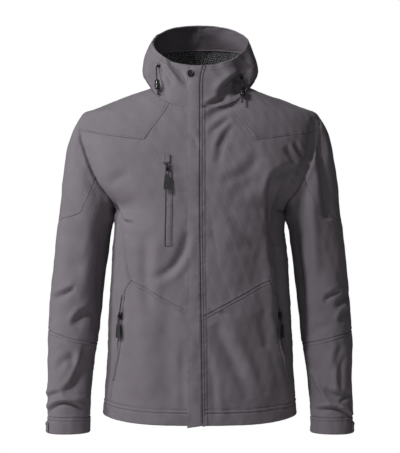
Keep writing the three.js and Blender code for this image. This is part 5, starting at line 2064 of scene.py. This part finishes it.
@dataclass
class Drawcord:
    """One of the hood's drawcords: its eyelet, the cord, the cord lock and the knot at its end."""

    side: Side
    turn: float
    step: float
    end: tuple[float, float, float]
    lock_from: float
    radius: float = 1.4
    eyelet_lift: float = 2.4
    bend: Line = (
        (0, 0), (1.5, 0.05), (3, 0.35), (4.4, 1), (5.6, 2.1), (6.4, 3.6), (6.9, 5.4),
    )
    ring: Line = (
        (2.0, 0), (4.5, 0), (4.6, 0.4), (4.4, 0.9), (3.9, 1.3), (3.2, 1.5), (2.5, 1.35), (2.1, 1.0),
        (2.0, 0),
    )
    barrel: Line = (
        (1.8, 0), (3.7, 0), (4.4, 0.3), (4.9, 0.9), (5.2, 1.8), (5.2, 4.2), (4.7, 4.6), (4.7, 5.2),
        (5.2, 5.6), (5.2, 9.2), (5.8, 9.8), (6.2, 10.6), (6.2, 13.2), (5.8, 14.0), (5.2, 14.6),
        (5.1, 18.6), (4.6, 19.6), (3.7, 20), (1.8, 20), (1.8, 0),
    )
    knot: Line = (
        (0, -2.6), (1.1, -2.35), (1.9, -1.75), (2.5, -0.8), (2.2, -0.2), (2.55, 0.4), (2.2, 1.4),
        (1.4, 2.2), (0, 2.5),
    )

    def build(self) -> None:
        """Make the cord and what is on it."""
        form = HoodForm()
        step = np.array([self.step])
        turn = np.array([self.turn * self.side.value])
        point = form.base(turn, step)[0]
        out = form.normals(turn, step)[0]
        seat = point + out * self.eyelet_lift
        route = [seat + out * away - np.array([0, 0, down]) for away, down in self.bend]
        start = route[-1]
        end = np.array(self.end)
        route += [start + (end - start) * share for share in np.linspace(0.1, 1, 12)]
        down = (end - start) / np.linalg.norm(end - start)
        word = self.side.word
        eyelet = Turned(f"eyelet_{word}_ring", f"eyelet_{word}", self.ring)
        eyelet.build(frame_at(seat, out, UP), PAINTED_ZINC, "black_metal")
        lock_at = start + (end - start) * self.lock_from
        barrel = Turned(f"cord_lock_{word}_barrel", f"cord_lock_{word}", self.barrel)
        lock = barrel.build(frame_at(lock_at, down, ACROSS), ACETAL, "rubber")
        knot = Turned(f"cord_knot_{word}_tied", f"cord_knot_{word}", self.knot, 24)
        tied = knot.build(frame_at(end + down * 2.9, down, ACROSS), ELASTIC, "elastic")
        curve = bpy.data.curves.new(f"drawcord_{word}_cord", "CURVE")
        curve.dimensions = "3D"
        curve.bevel_depth = self.radius * MM
        curve.bevel_resolution = 5
        curve.use_fill_caps = True
        spline = curve.splines.new("POLY")
        smooth = rounded_path(route, 3)
        spline.points.add(len(smooth) - 1)
        for spot, place in zip(spline.points, smooth):
            spot.co = (*(place * MM), 1)
        cord = bpy.data.objects.new(f"drawcord_{word}_cord", curve)
        bpy.context.scene.collection.objects.link(cord)
        DRESS.put(cord, ELASTIC, node=f"drawcord_{word}")
        length = float(run_of(smooth)[-1]) * MM
        log.info("drawcord %s: %.0f mm", word, length / MM)


@dataclass
class Studio:
    """The camera, the lights and the floor."""

    camera_y: float = -3.2
    camera_z: float = -0.289
    pixel: float = 2.15
    image_height: int = 453
    sensor: float = 36.0
    floor_z: float = -1.45
    floor_half: float = 3.4
    aim_z: float = -0.28
    light_distance: float = 3.2
    soft_light: float = 0.012
    lights: tuple[tuple[str, float, float, float, float], ...] = (
        ("key", -46, 40, 0.5, 67.0),
        ("side", -72, 12, 0.5, 38.0),
        ("front", 0, 20, 1.0, 8.0),
        ("fill", 60, 40, 0.9, 4.5),
        ("back", 180, 20, 1.6, 24.0),
    )

    def camera(self) -> None:
        """Place the camera straight in front, level, with the photograph's frame."""
        data = bpy.data.cameras.new("camera")
        data.sensor_width = self.sensor
        data.lens = self.sensor * -self.camera_y / (self.pixel * MM * self.image_height)
        data.clip_end = 60
        camera = bpy.data.objects.new("camera", data)
        camera.location = (0, self.camera_y, self.camera_z)
        camera.rotation_euler = (QUARTER, 0, 0)
        bpy.context.scene.collection.objects.link(camera)
        bpy.context.scene.camera = camera

    def light(self, name: str, azimuth: float, elevation: float, size: float, power: float) -> None:
        """Place a square soft light that points at the jacket's middle.

        Args:
            name: The light's name.
            azimuth: Its direction from the camera's towards the wearer's left, in degrees.
            elevation: How high it stands, in degrees.
            size: Its side, in metres.
            power: Its power, in watts.
        """
        turn = math.radians(azimuth)
        rise = math.radians(elevation)
        aim = Vector((0, 0, self.aim_z))
        way = Vector((math.sin(turn) * math.cos(rise), -math.cos(turn) * math.cos(rise), math.sin(rise)))
        data = bpy.data.lights.new(name, "AREA")
        data.size = size
        data.energy = power
        lamp = bpy.data.objects.new(name, data)
        lamp.location = aim + way * self.light_distance
        lamp.rotation_euler = (-way).to_track_quat("-Z", "Y").to_euler()
        bpy.context.scene.collection.objects.link(lamp)

    def build(self) -> None:
        """Make the floor, the lights and the white surround."""
        shape = bmesh.new()
        level = Matrix.Translation((0, 0, self.floor_z))
        bmesh.ops.create_grid(shape, x_segments=2, y_segments=2, size=self.floor_half, matrix=level)
        floor = new_object("floor", shape_mesh(shape, "floor"))
        floor.data.materials.append(DRESS.of(PLASTER))
        for light in self.lights:
            self.light(*light)
        world = bpy.data.worlds.new("studio")
        bpy.context.scene.world = world
        world.use_nodes = True
        tree = world.node_tree
        tree.nodes.clear()
        seen = add_node(tree, "LightPath", output="Is Camera Ray")
        soft = add_node(tree, "Background", {"Color": linear("#f4f4f6"), "Strength": self.soft_light})
        white = add_node(tree, "Background", {"Color": (1, 1, 1, 1), "Strength": 1.0})
        mix = add_node(tree, "MixShader", {0: seen, 1: soft, 2: white})
        add_node(tree, "OutputWorld", {"Surface": mix})
        bpy.context.scene.view_settings.view_transform = "Standard"


def main() -> None:
    """Build the jacket and its studio."""
    logging.basicConfig(level=logging.INFO, format="%(message)s")
    studio = Studio()
    studio.camera()
    Drawcord(Side.RIGHT, 0.9, 5.5, (-88, -89, -9), 0.5).build()
    Drawcord(Side.LEFT, 0.9, 4.0, (88, -104, -27), 0.42).build()
    body = Body()
    body.build()
    for side in Side:
        Sleeve(side).build()
    Hood().build()
    Closure().build()
    Snap().build()
    Pockets(body=body).build()
    STITCHING.build()
    studio.build()


if __name__ == "__main__":
    main()
